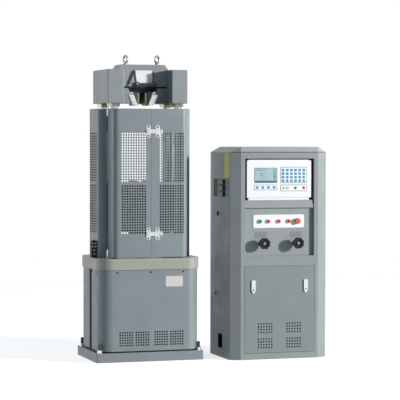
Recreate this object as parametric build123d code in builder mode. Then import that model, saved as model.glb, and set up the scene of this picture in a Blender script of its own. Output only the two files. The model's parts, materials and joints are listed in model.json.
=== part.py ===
from math import cos, radians, sin, tan
import os

from build123d import *

os.makedirs("parts", exist_ok=True)

# Driving sizes of the load frame in mm
TABLE_W, TABLE_D, TABLE_R = 705.0, 536.0, 98.0
TABLE_TOP, TABLE_T, SKIRT_H, SKIRT_T = 681.0, 45.0, 74.0, 6.0
BASE_T, BASE_OUT, BASE_IN = 62.0, 13.5, 9.0
COVER_IN, COVER_SET, COVER_GAP, COVER_LAP, SHEET = 7.5, 8.0, 10.0, 18.0, 3.0
COLUMN_DIA, COLUMN_Y, COLUMN_STEP = 60.0, 130.0, 42.0
SCREW_DIA, SCREW_Y, SCREW_IN = 50.0, 8.0, 90.5
DAYLIGHT, HEAD_H, HEAD_D, HEAD_OUT = 1022.0, 223.0, 390.0, 54.0
WING_W, BODY_D, BODY_RISE = 109.0, 150.0, 36.0
LOWER_OUT, LOWER_D, LOWER_UP, LOWER_H = 50.0, 184.0, 171.0, 323.0
RAM_DIA, CYLINDER_DIA, RAM_OUT = 150.0, 230.0, 116.0
PLATEN_DIA, PLATEN_T = 160.0, 24.0
FIT, FREE = 0.05, 0.3

# Driving sizes of the wedge grips in mm and degrees
WEDGE_DEG, POCKET_HALF, POCKET_H, BACK_T = 22.0, 62.0, 112.0, 10.0
JAW_D, JAW_H, JAW_BELOW, JAW_INNER, INSERT_T = 120.0, 90.0, 13.0, 34.0, 14.0
RACK_TEETH, RACK_T, RACK_W, RACK_IN = 7, 9.0, 20.0, 2.0

# Driving sizes of the guard in mm
DOOR_IN, DOOR_R, DOOR_T, DOOR_GAP, DOOR_SET = 94.5, 42.0, 2.5, 0.75, 4.0
SIDE_IN, SIDE_R, SIDE_FRONT, SIDE_BACK, GUARD_DROP = 32.5, 28.0, -115.0, 131.0, 36.0
HINGE_Y, PIN_DIA, KNUCKLE_DIA, KNUCKLE_H = -119.0, 6.0, 12.0, 46.0
LATCH_DOWN, LATCH_UP, DOOR_UP, DOOR_BELOW, SCREW_BELOW = 149.0, 155.0, 7.0, 1.0, 27.0

# Driving sizes of the console in mm
CON_GAP, CON_FRONT, CON_BACK = 154.0, -379.0, 60.0
CON_HALF, CON_SLANT, CON_CHAMFER = 341.0, 67.0, 30.0
CON_TOP, LID_H, CON_T = 1416.0, 37.0, 2.0
BAY_IN, BAY_DOWN, BAY_H, BAY_DEPTH = 95.4, 78.0, 649.0, 22.0
HATCH_IN, HATCH_BOTTOM, HATCH_H, HATCH_GAP = 92.0, 44.0, 578.0, 2.0
BUTTON_UP, BUTTON_R = 231.0, 11.65
BUTTON_X = (-134.0, -75.0, -1.0, 70.0, 130.0)
WHEEL_UP, WHEEL_X, WHEEL_DIA = 86.0, 120.0, 76.0

# Widths, heights and planes that follow from the driving sizes
BASE_W, BASE_D = TABLE_W + 2 * BASE_OUT, TABLE_D - 2 * BASE_IN
COVER_W, COVER_D = TABLE_W - 2 * COVER_IN, TABLE_D - 2 * COVER_SET
COVER_R = TABLE_R - COVER_IN
TABLE_FRONT = -TABLE_D / 2
TABLE_UNDER = TABLE_TOP - TABLE_T
SKIRT_BOTTOM = TABLE_TOP - SKIRT_H
COVER_BOTTOM = BASE_T + COVER_GAP
COVER_TOP = SKIRT_BOTTOM + COVER_LAP
CYLINDER_TOP = TABLE_UNDER - RAM_OUT
SCREW_X = TABLE_W / 2 - SCREW_IN
COLUMN_X = SCREW_X - COLUMN_STEP
HEAD_W = 2 * (COLUMN_X + HEAD_OUT)
HEAD_BOTTOM = TABLE_TOP + DAYLIGHT
HEAD_TOP = HEAD_BOTTOM + HEAD_H
LOWER_W = 2 * (SCREW_X + LOWER_OUT)
LOWER_BOTTOM = TABLE_TOP + LOWER_UP
LOWER_TOP = LOWER_BOTTOM + LOWER_H
SIDE_HALF = TABLE_W / 2 - SIDE_IN
SIDE_TOP = HEAD_BOTTOM - GUARD_DROP
DOOR_HALF = TABLE_W / 2 - DOOR_IN
DOOR_FRONT = TABLE_FRONT + DOOR_SET
DOOR_BOTTOM, DOOR_TOP = TABLE_TOP + DOOR_UP, SIDE_TOP - DOOR_BELOW
LATCH_Z = (DOOR_TOP - LATCH_DOWN, DOOR_BOTTOM + LATCH_UP)
SCREW_TOP = SIDE_TOP - SCREW_BELOW
WEDGE = tan(radians(WEDGE_DEG))
CON_X = BASE_W / 2 + CON_GAP + CON_HALF
CON_FLAT = CON_HALF - CON_SLANT
CON_BODY_TOP = CON_TOP - LID_H
BAY_HALF, BAY_TOP = CON_HALF - BAY_IN, CON_TOP - BAY_DOWN
BAY_BOTTOM = BAY_TOP - BAY_H
HATCH_HALF, HATCH_TOP = CON_HALF - HATCH_IN, HATCH_BOTTOM + HATCH_H
BUTTON_Z, WHEEL_Z = BAY_BOTTOM + BUTTON_UP, BAY_BOTTOM + WHEEL_UP
PANEL_Y = CON_FRONT + BAY_DEPTH


def save(piece, name):
    piece.part.label = name
    export_step(piece.part, "parts/" + name + ".step")


def block(x0, x1, y0, y1, z0, z1, mode=Mode.ADD):
    """Add a square block between two corners to the open part."""
    with Locations(((x0 + x1) / 2, (y0 + y1) / 2, (z0 + z1) / 2)):
        Box(x1 - x0, y1 - y0, z1 - z0, mode=mode)


def post(x, y, z0, z1, radius, mode=Mode.ADD):
    """Add an upright round bar to the open part."""
    with Locations((x, y, (z0 + z1) / 2)):
        Cylinder(radius, z1 - z0, mode=mode)


def bar_y(x, z, y0, y1, radius, mode=Mode.ADD):
    """Add a round bar that runs front to back to the open part."""
    with Locations((x, (y0 + y1) / 2, z)):
        Cylinder(radius, y1 - y0, rotation=(90, 0, 0), mode=mode)


CORNERS = [(sx, sy) for sx in (-1, 1) for sy in (-1, 1)]

# Base plate with pads that carry the covers
PAD_X, PAD_W, PAD_T = 200.0, 40.0, 12.0
STUD_IN, STUD_R, STUD_UP = 26.0, 10.0, 58.0
with BuildPart() as base_plate:
    block(-BASE_W / 2, BASE_W / 2, -BASE_D / 2, BASE_D / 2, 0, BASE_T)
    chamfer(base_plate.edges().filter_by(Axis.Z), 4)
    for sx, sy in CORNERS:
        edge = sy * (COVER_D / 2 - SHEET / 2 - PAD_T / 2)
        block(sx * PAD_X - PAD_W / 2, sx * PAD_X + PAD_W / 2, edge - PAD_T / 2, edge + PAD_T / 2,
              BASE_T, COVER_BOTTOM)
        post(sx * (BASE_W / 2 - STUD_IN), sy * (BASE_D / 2 - STUD_IN), 0, BASE_T, STUD_R + FIT, Mode.SUBTRACT)
save(base_plate, "base_plate")

# Levelling screws with nut and washer at the four corners
NUT_FLATS, NUT_H, WASHER_R, WASHER_T = 30.0, 16.0, 18.5, 3.0
with BuildPart() as levelling_screws:
    for sx, sy in CORNERS:
        at = (sx * (BASE_W / 2 - STUD_IN), sy * (BASE_D / 2 - STUD_IN))
        post(at[0], at[1], 1, BASE_T + STUD_UP, STUD_R)
        post(at[0], at[1], BASE_T, BASE_T + WASHER_T, WASHER_R)
        with BuildSketch(Plane.XY.offset(BASE_T + WASHER_T)):
            with Locations(at):
                RegularPolygon(NUT_FLATS / 2, 6, major_radius=False)
        extrude(amount=NUT_H)
save(levelling_screws, "levelling_screws")

# Hydraulic cylinder, open at the top for the ram
CYLINDER_FOOT_DIA, CYLINDER_FOOT_T, BORE_BOTTOM = 300.0, 30.0, 110.0
with BuildPart() as hydraulic_cylinder:
    post(0, 0, BASE_T, CYLINDER_TOP, CYLINDER_DIA / 2)
    post(0, 0, BASE_T, BASE_T + CYLINDER_FOOT_T, CYLINDER_FOOT_DIA / 2)
    post(0, 0, BORE_BOTTOM, CYLINDER_TOP, RAM_DIA / 2 + FIT, Mode.SUBTRACT)
save(hydraulic_cylinder, "hydraulic_cylinder")

# Base covers: a front and a rear wrap with an open slot between them at each side
COVER_SPLIT_FRONT, COVER_SPLIT_REAR = -45.0, 15.0


def base_cover(y0, y1):
    with BuildPart() as cover:
        with BuildSketch(Plane.XY.offset(COVER_BOTTOM)):
            RectangleRounded(COVER_W, COVER_D, COVER_R)
            RectangleRounded(COVER_W - 2 * SHEET, COVER_D - 2 * SHEET, COVER_R - SHEET, mode=Mode.SUBTRACT)
            with Locations((0, (y0 + y1) / 2)):
                Rectangle(COVER_W, y1 - y0, mode=Mode.INTERSECT)
        extrude(amount=COVER_TOP - COVER_BOTTOM)
    return cover


save(base_cover(-COVER_D / 2, COVER_SPLIT_FRONT), "base_front_cover")
save(base_cover(COVER_SPLIT_REAR, COVER_D / 2), "base_rear_cover")

# Geared motors that turn the lead screws
GEAR_HALF, GEAR_H, SCREW_BOTTOM, MOTOR_R, MOTOR_L = 50.0, 110.0, 70.0, 45.0, 150.0
with BuildPart() as gear_motors:
    for sx in (-1, 1):
        x = sx * SCREW_X
        block(x - GEAR_HALF, x + GEAR_HALF, SCREW_Y - GEAR_HALF, SCREW_Y + GEAR_HALF, BASE_T, BASE_T + GEAR_H)
        bar_y(x, BASE_T + GEAR_H / 2, SCREW_Y + GEAR_HALF - 5, SCREW_Y + GEAR_HALF + MOTOR_L, MOTOR_R)
        post(x, SCREW_Y, SCREW_BOTTOM, BASE_T + GEAR_H, SCREW_DIA / 2 + FIT, Mode.SUBTRACT)
save(gear_motors, "gear_motors")

# Lead screws
for side, sx in (("left", -1), ("right", 1)):
    with BuildPart() as lead_screw:
        post(sx * SCREW_X, SCREW_Y, SCREW_BOTTOM, SCREW_TOP, SCREW_DIA / 2)
        chamfer(lead_screw.edges().group_by(Axis.Z)[-1], 4)
    save(lead_screw, "lead_screw_" + side)

# Ram under the worktable
with BuildPart() as ram:
    post(0, 0, BORE_BOTTOM, TABLE_UNDER, RAM_DIA / 2)
save(ram, "ram")

# Worktable with skirt, T-slots, column bores and screw passages
SLOT_Y, SLOT_NECK, SLOT_HEAD, SLOT_DEEP = 75.0, 18.0, 30.0, 26.0
SPIGOT_R, SPIGOT_H, SCREW_ROOM = 20.0, 20.0, 3.0
with BuildPart() as worktable:
    with BuildSketch(Plane.XY.offset(SKIRT_BOTTOM)):
        RectangleRounded(TABLE_W, TABLE_D, TABLE_R)
    extrude(amount=SKIRT_H)
    with BuildSketch(Plane.XY.offset(SKIRT_BOTTOM)):
        RectangleRounded(TABLE_W - 2 * SKIRT_T, TABLE_D - 2 * SKIRT_T, TABLE_R - SKIRT_T)
    extrude(amount=SKIRT_H - TABLE_T, mode=Mode.SUBTRACT)
    for sx, sy in CORNERS:
        post(sx * COLUMN_X, sy * COLUMN_Y, TABLE_UNDER, TABLE_TOP, COLUMN_DIA / 2 + FIT, Mode.SUBTRACT)
    for sx in (-1, 1):
        post(sx * SCREW_X, SCREW_Y, TABLE_UNDER, TABLE_TOP, SCREW_DIA / 2 + SCREW_ROOM, Mode.SUBTRACT)
        y = sx * SLOT_Y
        block(-COLUMN_X + COLUMN_DIA, COLUMN_X - COLUMN_DIA, y - SLOT_NECK / 2, y + SLOT_NECK / 2,
              TABLE_TOP - SLOT_DEEP, TABLE_TOP, Mode.SUBTRACT)
        block(-COLUMN_X + COLUMN_DIA, COLUMN_X - COLUMN_DIA, y - SLOT_HEAD / 2, y + SLOT_HEAD / 2,
              TABLE_TOP - SLOT_DEEP, TABLE_TOP - SLOT_DEEP / 2, Mode.SUBTRACT)
    post(0, 0, TABLE_TOP - SPIGOT_H, TABLE_TOP, SPIGOT_R + FIT, Mode.SUBTRACT)
save(worktable, "worktable")

# Compression platens on the table and under the lower crosshead
PLATEN_RAND = 4.0
with BuildPart() as lower_platen:
    post(0, 0, TABLE_TOP, TABLE_TOP + PLATEN_T, PLATEN_DIA / 2)
    post(0, 0, TABLE_TOP - SPIGOT_H, TABLE_TOP, SPIGOT_R)
    chamfer(lower_platen.edges().group_by(Axis.Z)[-1], PLATEN_RAND)
save(lower_platen, "lower_platen")

with BuildPart() as upper_platen:
    post(0, 0, LOWER_BOTTOM - PLATEN_T, LOWER_BOTTOM, PLATEN_DIA / 2)
    post(0, 0, LOWER_BOTTOM, LOWER_BOTTOM + SPIGOT_H, SPIGOT_R)
    chamfer(upper_platen.edges().group_by(Axis.Z)[0], PLATEN_RAND)
save(upper_platen, "upper_platen")

# Columns and the nuts that lock the crosshead on them
COLUMN_NUT_FLATS, COLUMN_NUT_H = 76.0, 22.0
with BuildPart() as columns:
    for sx, sy in CORNERS:
        post(sx * COLUMN_X, sy * COLUMN_Y, TABLE_UNDER, HEAD_TOP, COLUMN_DIA / 2)
save(columns, "columns")

with BuildPart() as column_nuts:
    with BuildSketch(Plane.XY.offset(HEAD_BOTTOM - COLUMN_NUT_H)):
        with Locations(*[(sx * COLUMN_X, sy * COLUMN_Y) for sx, sy in CORNERS]):
            RegularPolygon(COLUMN_NUT_FLATS / 2, 6, major_radius=False)
            Circle(COLUMN_DIA / 2 + FIT, mode=Mode.SUBTRACT)
    extrude(amount=COLUMN_NUT_H)
save(column_nuts, "column_nuts")


def pocket(z, up):
    """Corners of a wedge pocket whose narrow end is at height z."""
    wide = POCKET_HALF + POCKET_H * WEDGE
    return [(-POCKET_HALF, z), (POCKET_HALF, z), (wide, z + up * POCKET_H), (-wide, z + up * POCKET_H)]


# Upper crosshead: two deep wings, a raised body between them and the wedge pocket
BODY_HALF = HEAD_W / 2 - WING_W
SHOULDER, BODY_LAP, BODY_TOP = 25.0, 12.0, HEAD_TOP + BODY_RISE
LAP_HALF = BODY_HALF + BODY_LAP
with BuildPart() as upper_crosshead:
    for sx in (-1, 1):
        mid = sx * (HEAD_W - WING_W) / 2
        block(mid - WING_W / 2, mid + WING_W / 2, -HEAD_D / 2, HEAD_D / 2, HEAD_BOTTOM, HEAD_TOP)
    fillet(upper_crosshead.edges().filter_by(Axis.Z), 5)
    with BuildSketch(Plane.XZ.offset(BODY_D / 2)):
        Polygon((-LAP_HALF, HEAD_BOTTOM), (LAP_HALF, HEAD_BOTTOM), (LAP_HALF, HEAD_TOP),
                (LAP_HALF - SHOULDER, BODY_TOP), (-LAP_HALF + SHOULDER, BODY_TOP), (-LAP_HALF, HEAD_TOP),
                align=None)
    extrude(amount=-BODY_D)
    with BuildSketch(Plane.XZ.offset(BODY_D / 2)):
        Polygon(*pocket(HEAD_BOTTOM, 1), align=None)
    extrude(amount=BACK_T - BODY_D, mode=Mode.SUBTRACT)
    for sx, sy in CORNERS:
        post(sx * COLUMN_X, sy * COLUMN_Y, HEAD_BOTTOM, HEAD_TOP, COLUMN_DIA / 2 + FIT, Mode.SUBTRACT)
save(upper_crosshead, "upper_crosshead")

# Lifting eyebolts on the raised body
EYE_X, EYE_Y, EYE_R, EYE_BAR, EYE_COLLAR_R, EYE_COLLAR_H = 110.0, -30.0, 24.0, 7.0, 18.0, 8.0
EYE_TURN = (-78.0, 42.0)
with BuildPart() as eyebolts:
    for sx, turn in zip((-1, 1), EYE_TURN):
        post(sx * EYE_X, EYE_Y, BODY_TOP, BODY_TOP + EYE_COLLAR_H, EYE_COLLAR_R)
        with Locations((sx * EYE_X, EYE_Y, BODY_TOP + EYE_COLLAR_H + EYE_R + EYE_BAR / 2)):
            Torus(EYE_R, EYE_BAR, rotation=(90, turn, 0))
save(eyebolts, "eyebolts")

# Cover plate over the grip, with the pin that carries the jaw lever
PLATE_T, PLATE_TOP_HALF, PLATE_LOW_HALF, LEVER_X, LEVER_R = 8.0, 62.0, 108.0, -45.0, 7.0
PLATE_UP, LEVER_UP, LEVER_HALF = 3.0, 16.0, 6.0
PLATE_Y = -BODY_D / 2 - PLATE_T
PLATE_LOW = HEAD_BOTTOM + POCKET_H + PLATE_UP
LEVER_Z = PLATE_LOW + LEVER_UP
LEVER_IN = PLATE_Y - LEVER_HALF
LEVER_OUT = LEVER_IN - 2 * LEVER_HALF
with BuildPart() as jaw_cover_plate:
    with BuildSketch(Plane.XZ.offset(BODY_D / 2)):
        Polygon((-PLATE_LOW_HALF, PLATE_LOW), (PLATE_LOW_HALF, PLATE_LOW), (PLATE_TOP_HALF, HEAD_TOP),
                (-PLATE_TOP_HALF, HEAD_TOP), align=None)
    extrude(amount=PLATE_T)
    bar_y(LEVER_X, LEVER_Z, LEVER_OUT, PLATE_Y, LEVER_R)
save(jaw_cover_plate, "jaw_cover_plate")


def jaw(sx, z, up):
    """A wedge jaw with its rack, on the side sx, in the pocket whose narrow end is at height z."""
    low, high = -JAW_BELOW, JAW_H - JAW_BELOW
    outer = [POCKET_HALF - FIT * 2 + h * WEDGE for h in (low, high)]
    with BuildPart() as wedge:
        with BuildSketch(Plane.XZ.offset(JAW_D / 2)):
            Polygon((sx * JAW_INNER, z + up * low), (sx * outer[0], z + up * low),
                    (sx * outer[1], z + up * high), (sx * JAW_INNER, z + up * high), align=None)
        extrude(amount=-JAW_D)
        with BuildSketch(Plane.XZ.offset(JAW_D / 2)):
            rack = [edge - RACK_IN for edge in outer]
            Polygon((sx * (rack[0] - RACK_W), z + up * low), (sx * rack[0], z + up * low),
                    (sx * rack[1], z + up * high), (sx * (rack[1] - RACK_W), z + up * high), align=None)
        extrude(amount=RACK_T)
        pitch = JAW_H / RACK_TEETH
        for n in range(RACK_TEETH):
            h = low + (n + 0.5) * pitch
            x = sx * (POCKET_HALF - RACK_IN + h * WEDGE)
            bar_y(x, z + up * h, -JAW_D / 2 - RACK_T, -JAW_D / 2, pitch / 4, Mode.SUBTRACT)
    return wedge


def insert(sx, z, up):
    """A jaw insert with a V groove down its gripping face."""
    z0 = z + up * (-JAW_BELOW + 5)
    z1 = z + up * (JAW_H - JAW_BELOW - 5)
    tip, base, groove, half = JAW_INNER - INSERT_T, JAW_INNER, 5.0, JAW_D / 2 - 10
    with BuildPart() as piece:
        with BuildSketch(Plane.XY.offset(min(z0, z1))):
            Polygon((sx * base, -half), (sx * tip, -half), (sx * tip, -groove), (sx * (tip + groove), 0),
                    (sx * tip, groove), (sx * tip, half), (sx * base, half), align=None)
        extrude(amount=abs(z1 - z0))
    return piece


for side, sx in (("left", -1), ("right", 1)):
    save(jaw(sx, HEAD_BOTTOM, 1), "upper_jaw_" + side)
    save(insert(sx, HEAD_BOTTOM, 1), "upper_insert_" + side)
    save(jaw(sx, LOWER_TOP, -1), "lower_jaw_" + side)
    save(insert(sx, LOWER_TOP, -1), "lower_insert_" + side)


def jaw_lever(x, z, y0, y1, reach):
    """A hand lever with a ball end, turning on a pin at x and z."""
    with BuildPart() as lever:
        bar_y(x, z, y0, y1, LEVER_R * 2)
        block(x, x + reach, y0 + 2, y1 - 2, z - 5, z + 5)
        with Locations((x + reach, (y0 + y1) / 2, z)):
            Sphere(LEVER_R * 1.4)
        bar_y(x, z, y0, y1, LEVER_R + FIT, Mode.SUBTRACT)
    return lever


LEVER_REACH = 125.0
save(jaw_lever(LEVER_X, LEVER_Z, LEVER_OUT, LEVER_IN, LEVER_REACH), "upper_jaw_lever")

# Lower crosshead that travels on the lead screws
NUT_R, NUT_FLANGE_R, NUT_FLANGE_T = 42.0, 48.0, 20.0
LOW_PIN_DOWN, LOW_PIN_OUT = 26.0, 11.0
LOW_PIN_Z = LOWER_TOP - POCKET_H - LOW_PIN_DOWN
LOW_PIN_Y = -LOWER_D / 2 - LOW_PIN_OUT
with BuildPart() as lower_crosshead:
    block(-LOWER_W / 2, LOWER_W / 2, -LOWER_D / 2, LOWER_D / 2, LOWER_BOTTOM, LOWER_TOP)
    chamfer(lower_crosshead.edges().filter_by(Axis.Z), 6)
    with BuildSketch(Plane.XZ.offset(LOWER_D / 2)):
        Polygon(*pocket(LOWER_TOP, -1), align=None)
    extrude(amount=BACK_T - LOWER_D, mode=Mode.SUBTRACT)
    for sx in (-1, 1):
        post(sx * SCREW_X, SCREW_Y, LOWER_BOTTOM, LOWER_TOP, NUT_R + FIT, Mode.SUBTRACT)
    post(0, 0, LOWER_BOTTOM, LOWER_BOTTOM + SPIGOT_H, SPIGOT_R + FIT, Mode.SUBTRACT)
    bar_y(LEVER_X, LOW_PIN_Z, LOW_PIN_Y - LEVER_HALF, -LOWER_D / 2, LEVER_R)
save(lower_crosshead, "lower_crosshead")
save(jaw_lever(LEVER_X, LOW_PIN_Z, LOW_PIN_Y - LEVER_HALF, LOW_PIN_Y + LEVER_HALF, LEVER_REACH),
     "lower_jaw_lever")

with BuildPart() as screw_nuts:
    for sx in (-1, 1):
        post(sx * SCREW_X, SCREW_Y, LOWER_BOTTOM, LOWER_TOP, NUT_R)
        post(sx * SCREW_X, SCREW_Y, LOWER_BOTTOM - NUT_FLANGE_T, LOWER_BOTTOM, NUT_FLANGE_R)
        post(sx * SCREW_X, SCREW_Y, LOWER_BOTTOM - NUT_FLANGE_T, LOWER_TOP, SCREW_DIA / 2 + FIT,
             Mode.SUBTRACT)
save(screw_nuts, "screw_nuts")


# Guard side covers round the lead screws
FLANGE_END, LIP_END, LIP_CLEAR = DOOR_HALF + 6, COLUMN_X + COLUMN_DIA / 2 + 2, 3.0
for side, sx in (("left", -1), ("right", 1)):
    with BuildPart() as guard_side:
        with BuildSketch(Plane.XY.offset(TABLE_TOP)):
            with Locations((0, (SIDE_FRONT + SIDE_BACK) / 2)):
                RectangleRounded(2 * SIDE_HALF, SIDE_BACK - SIDE_FRONT, SIDE_R)
                RectangleRounded(2 * (SIDE_HALF - DOOR_T), SIDE_BACK - SIDE_FRONT - 2 * DOOR_T,
                                 SIDE_R - DOOR_T, mode=Mode.SUBTRACT)
            with Locations((sx * (FLANGE_END + SIDE_HALF) / 2, (SIDE_FRONT + SIDE_BACK) / 2)):
                Rectangle(SIDE_HALF - FLANGE_END, SIDE_BACK - SIDE_FRONT, mode=Mode.INTERSECT)
            with Locations((sx * (FLANGE_END + LIP_END) / 2, SIDE_BACK - DOOR_T / 2)):
                Rectangle(FLANGE_END - LIP_END, DOOR_T)
        extrude(amount=SIDE_TOP - TABLE_TOP)
        block(min(sx * LIP_END, sx * FLANGE_END), max(sx * LIP_END, sx * FLANGE_END),
              SIDE_FRONT, SIDE_FRONT + DOOR_T,
              DOOR_BOTTOM + KNUCKLE_H + LIP_CLEAR, DOOR_TOP - KNUCKLE_H - LIP_CLEAR)
    save(guard_side, "guard_side_" + side)

# Hinge pins of the doors: the lower ones stand on the table, the upper ones hang from a bracket
HINGE_X = DOOR_HALF - DOOR_T / 2
BRACKET_T, BRACKET_R, FOOT_R, BRACKET_X, BRACKET_LAP = 5.0, 6.0, 6.0, SIDE_HALF - 20, 12.0
with BuildPart() as hinge_pins:
    for sx in (-1, 1):
        x = sx * HINGE_X
        post(x, HINGE_Y, TABLE_TOP, DOOR_BOTTOM - FREE, FOOT_R)
        post(x, HINGE_Y, TABLE_TOP, DOOR_BOTTOM + KNUCKLE_H, PIN_DIA / 2)
        post(x, HINGE_Y, DOOR_TOP - KNUCKLE_H, SIDE_TOP, PIN_DIA / 2)
        post(x, HINGE_Y, SIDE_TOP, SIDE_TOP + BRACKET_T, BRACKET_R)
        block(min(x, sx * BRACKET_X), max(x, sx * BRACKET_X), HINGE_Y, SIDE_FRONT + BRACKET_LAP,
              SIDE_TOP, SIDE_TOP + BRACKET_T)
save(hinge_pins, "hinge_pins")

# Guard doors with rounded front corners, a folded meeting edge and hinge knuckles
EDGE_FOLD, DOOR_REAR = 15.0, HINGE_Y - 2
for side, sx in (("left", -1), ("right", 1)):
    with BuildPart() as guard_door:
        with BuildSketch(Plane.XY.offset(DOOR_BOTTOM)):
            with Locations((0, DOOR_FRONT + DOOR_HALF)):
                RectangleRounded(2 * DOOR_HALF, 2 * DOOR_HALF, DOOR_R)
                RectangleRounded(2 * (DOOR_HALF - DOOR_T), 2 * (DOOR_HALF - DOOR_T), DOOR_R - DOOR_T,
                                 mode=Mode.SUBTRACT)
            with Locations((sx * (DOOR_HALF + DOOR_GAP) / 2, (DOOR_FRONT + DOOR_REAR) / 2)):
                Rectangle(DOOR_HALF - DOOR_GAP, DOOR_REAR - DOOR_FRONT, mode=Mode.INTERSECT)
            with Locations((sx * (DOOR_GAP + DOOR_T / 2), DOOR_FRONT + EDGE_FOLD / 2)):
                Rectangle(DOOR_T, EDGE_FOLD)
        extrude(amount=DOOR_TOP - DOOR_BOTTOM)
        for z in (DOOR_BOTTOM, DOOR_TOP - KNUCKLE_H):
            post(sx * HINGE_X, HINGE_Y, z, z + KNUCKLE_H, KNUCKLE_DIA / 2)
            post(sx * HINGE_X, HINGE_Y, z, z + KNUCKLE_H, PIN_DIA / 2 + FIT, Mode.SUBTRACT)
    save(guard_door, "guard_door_" + side)

# Draw latches across the meeting edge: catches on the left door, bases and levers on the right door
LATCH_W, LATCH_H, LATCH_T, PLATE_X, LATCH_PIN_X = 28.0, 83.0, 2.5, (-18.0, 44.0), 52.0
CATCH_X, CATCH_HALF, CATCH_OUT = (-14.0, -8.0), 8.0, 4.5
EAR_IN, EAR_OUT, EAR_HALF, LATCH_PIN_R, LATCH_PIN_OUT = 18.0, 24.0, 5.0, 2.5, 5.5
TAIL_X, TAIL_W, TAIL_H, TAIL_R = 64.0, 26.0, 24.0, 8.0
LATCH_STOP_X, LATCH_STOP_W, LATCH_STOP_H, LATCH_STOP_OUT = 70.0, 14.0, 22.0, 8.0
HOOK_END, HOOK_IN, HOOK_HALF, STRAP_OUT, STRAP_IN = -25.0, 8.5, 14.0, 4.5, 0.5
LATCH_FACE = DOOR_FRONT - LATCH_T
LATCH_PIN_Y = LATCH_FACE - LATCH_PIN_OUT
with BuildPart() as latch_catches:
    for z in LATCH_Z:
        with BuildSketch(Plane.XZ.offset(-DOOR_FRONT)):
            with Locations((PLATE_X[0], z)):
                RectangleRounded(LATCH_W, LATCH_H, LATCH_W / 2 - 1)
        extrude(amount=LATCH_T)
        block(*CATCH_X, LATCH_FACE - CATCH_OUT, LATCH_FACE, z - CATCH_HALF, z + CATCH_HALF)
save(latch_catches, "latch_catches")

with BuildPart() as latch_bases:
    for z in LATCH_Z:
        with BuildSketch(Plane.XZ.offset(-DOOR_FRONT)):
            with Locations((PLATE_X[1], z)):
                RectangleRounded(LATCH_W, LATCH_H, LATCH_W / 2 - 1)
            with Locations((TAIL_X, z)):
                RectangleRounded(TAIL_W, TAIL_H, TAIL_R)
        extrude(amount=LATCH_T)
        for s in (-1, 1):
            block(LATCH_PIN_X - EAR_HALF, LATCH_PIN_X + EAR_HALF, LATCH_PIN_Y - EAR_HALF, LATCH_FACE,
                  min(z + s * EAR_IN, z + s * EAR_OUT), max(z + s * EAR_IN, z + s * EAR_OUT))
        post(LATCH_PIN_X, LATCH_PIN_Y, z - EAR_OUT, z + EAR_OUT, LATCH_PIN_R)
        block(LATCH_STOP_X - LATCH_STOP_W / 2, LATCH_STOP_X + LATCH_STOP_W / 2, LATCH_FACE - LATCH_STOP_OUT,
              LATCH_FACE, z - LATCH_STOP_H / 2, z + LATCH_STOP_H / 2)
save(latch_bases, "latch_bases")

for side, z in zip(("upper", "lower"), LATCH_Z):
    with BuildPart() as latch_lever:
        post(LATCH_PIN_X, LATCH_PIN_Y, z - EAR_IN + FREE, z + EAR_IN - FREE, 2 * LATCH_PIN_R)
        block(HOOK_END, LATCH_PIN_X, LATCH_PIN_Y - STRAP_OUT, LATCH_PIN_Y - STRAP_IN,
              z - HOOK_HALF, z + HOOK_HALF)
        block(HOOK_END, HOOK_END + HOOK_IN, LATCH_PIN_Y - STRAP_OUT, LATCH_FACE - 1,
              z - HOOK_HALF, z + HOOK_HALF)
        fillet(latch_lever.edges().filter_by(Axis.Y).group_by(Axis.X)[0], 5)
        post(LATCH_PIN_X, LATCH_PIN_Y, z - EAR_IN, z + EAR_IN, LATCH_PIN_R + FIT, Mode.SUBTRACT)
    save(latch_lever, "latch_lever_" + side)

# Push-button box on the left side cover
BOX_W, BOX_D, BOX_H, BOX_Y = 38.0, 30.0, 115.0, -85.0
with BuildPart() as button_box:
    block(-SIDE_HALF - BOX_W, -SIDE_HALF, BOX_Y, BOX_Y + BOX_D, TABLE_TOP, TABLE_TOP + BOX_H)
    fillet(button_box.edges().filter_by(Axis.Y).group_by(Axis.Z)[-1], 12)
save(button_box, "button_box")

# Console cabinet: plan with slanted front corners, open bay above and hatch below
PLINTH_T = 3.0
SOCKET_Y, SOCKET_Z = (-252.0, -11.0), (1082.0, 1200.0)
HOSE_Y, HOSE_Z = (-194.0, -108.0), (63.0, 157.0)


def plan(inset):
    """Outline of the cabinet seen from above, drawn in by inset."""
    half, flat = CON_HALF - inset, CON_FLAT - inset / 2
    front, back = CON_FRONT + inset, CON_BACK - inset
    return [(CON_X - half, back), (CON_X - half, front + CON_CHAMFER), (CON_X - flat, front),
            (CON_X + flat, front), (CON_X + half, front + CON_CHAMFER), (CON_X + half, back)]


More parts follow.
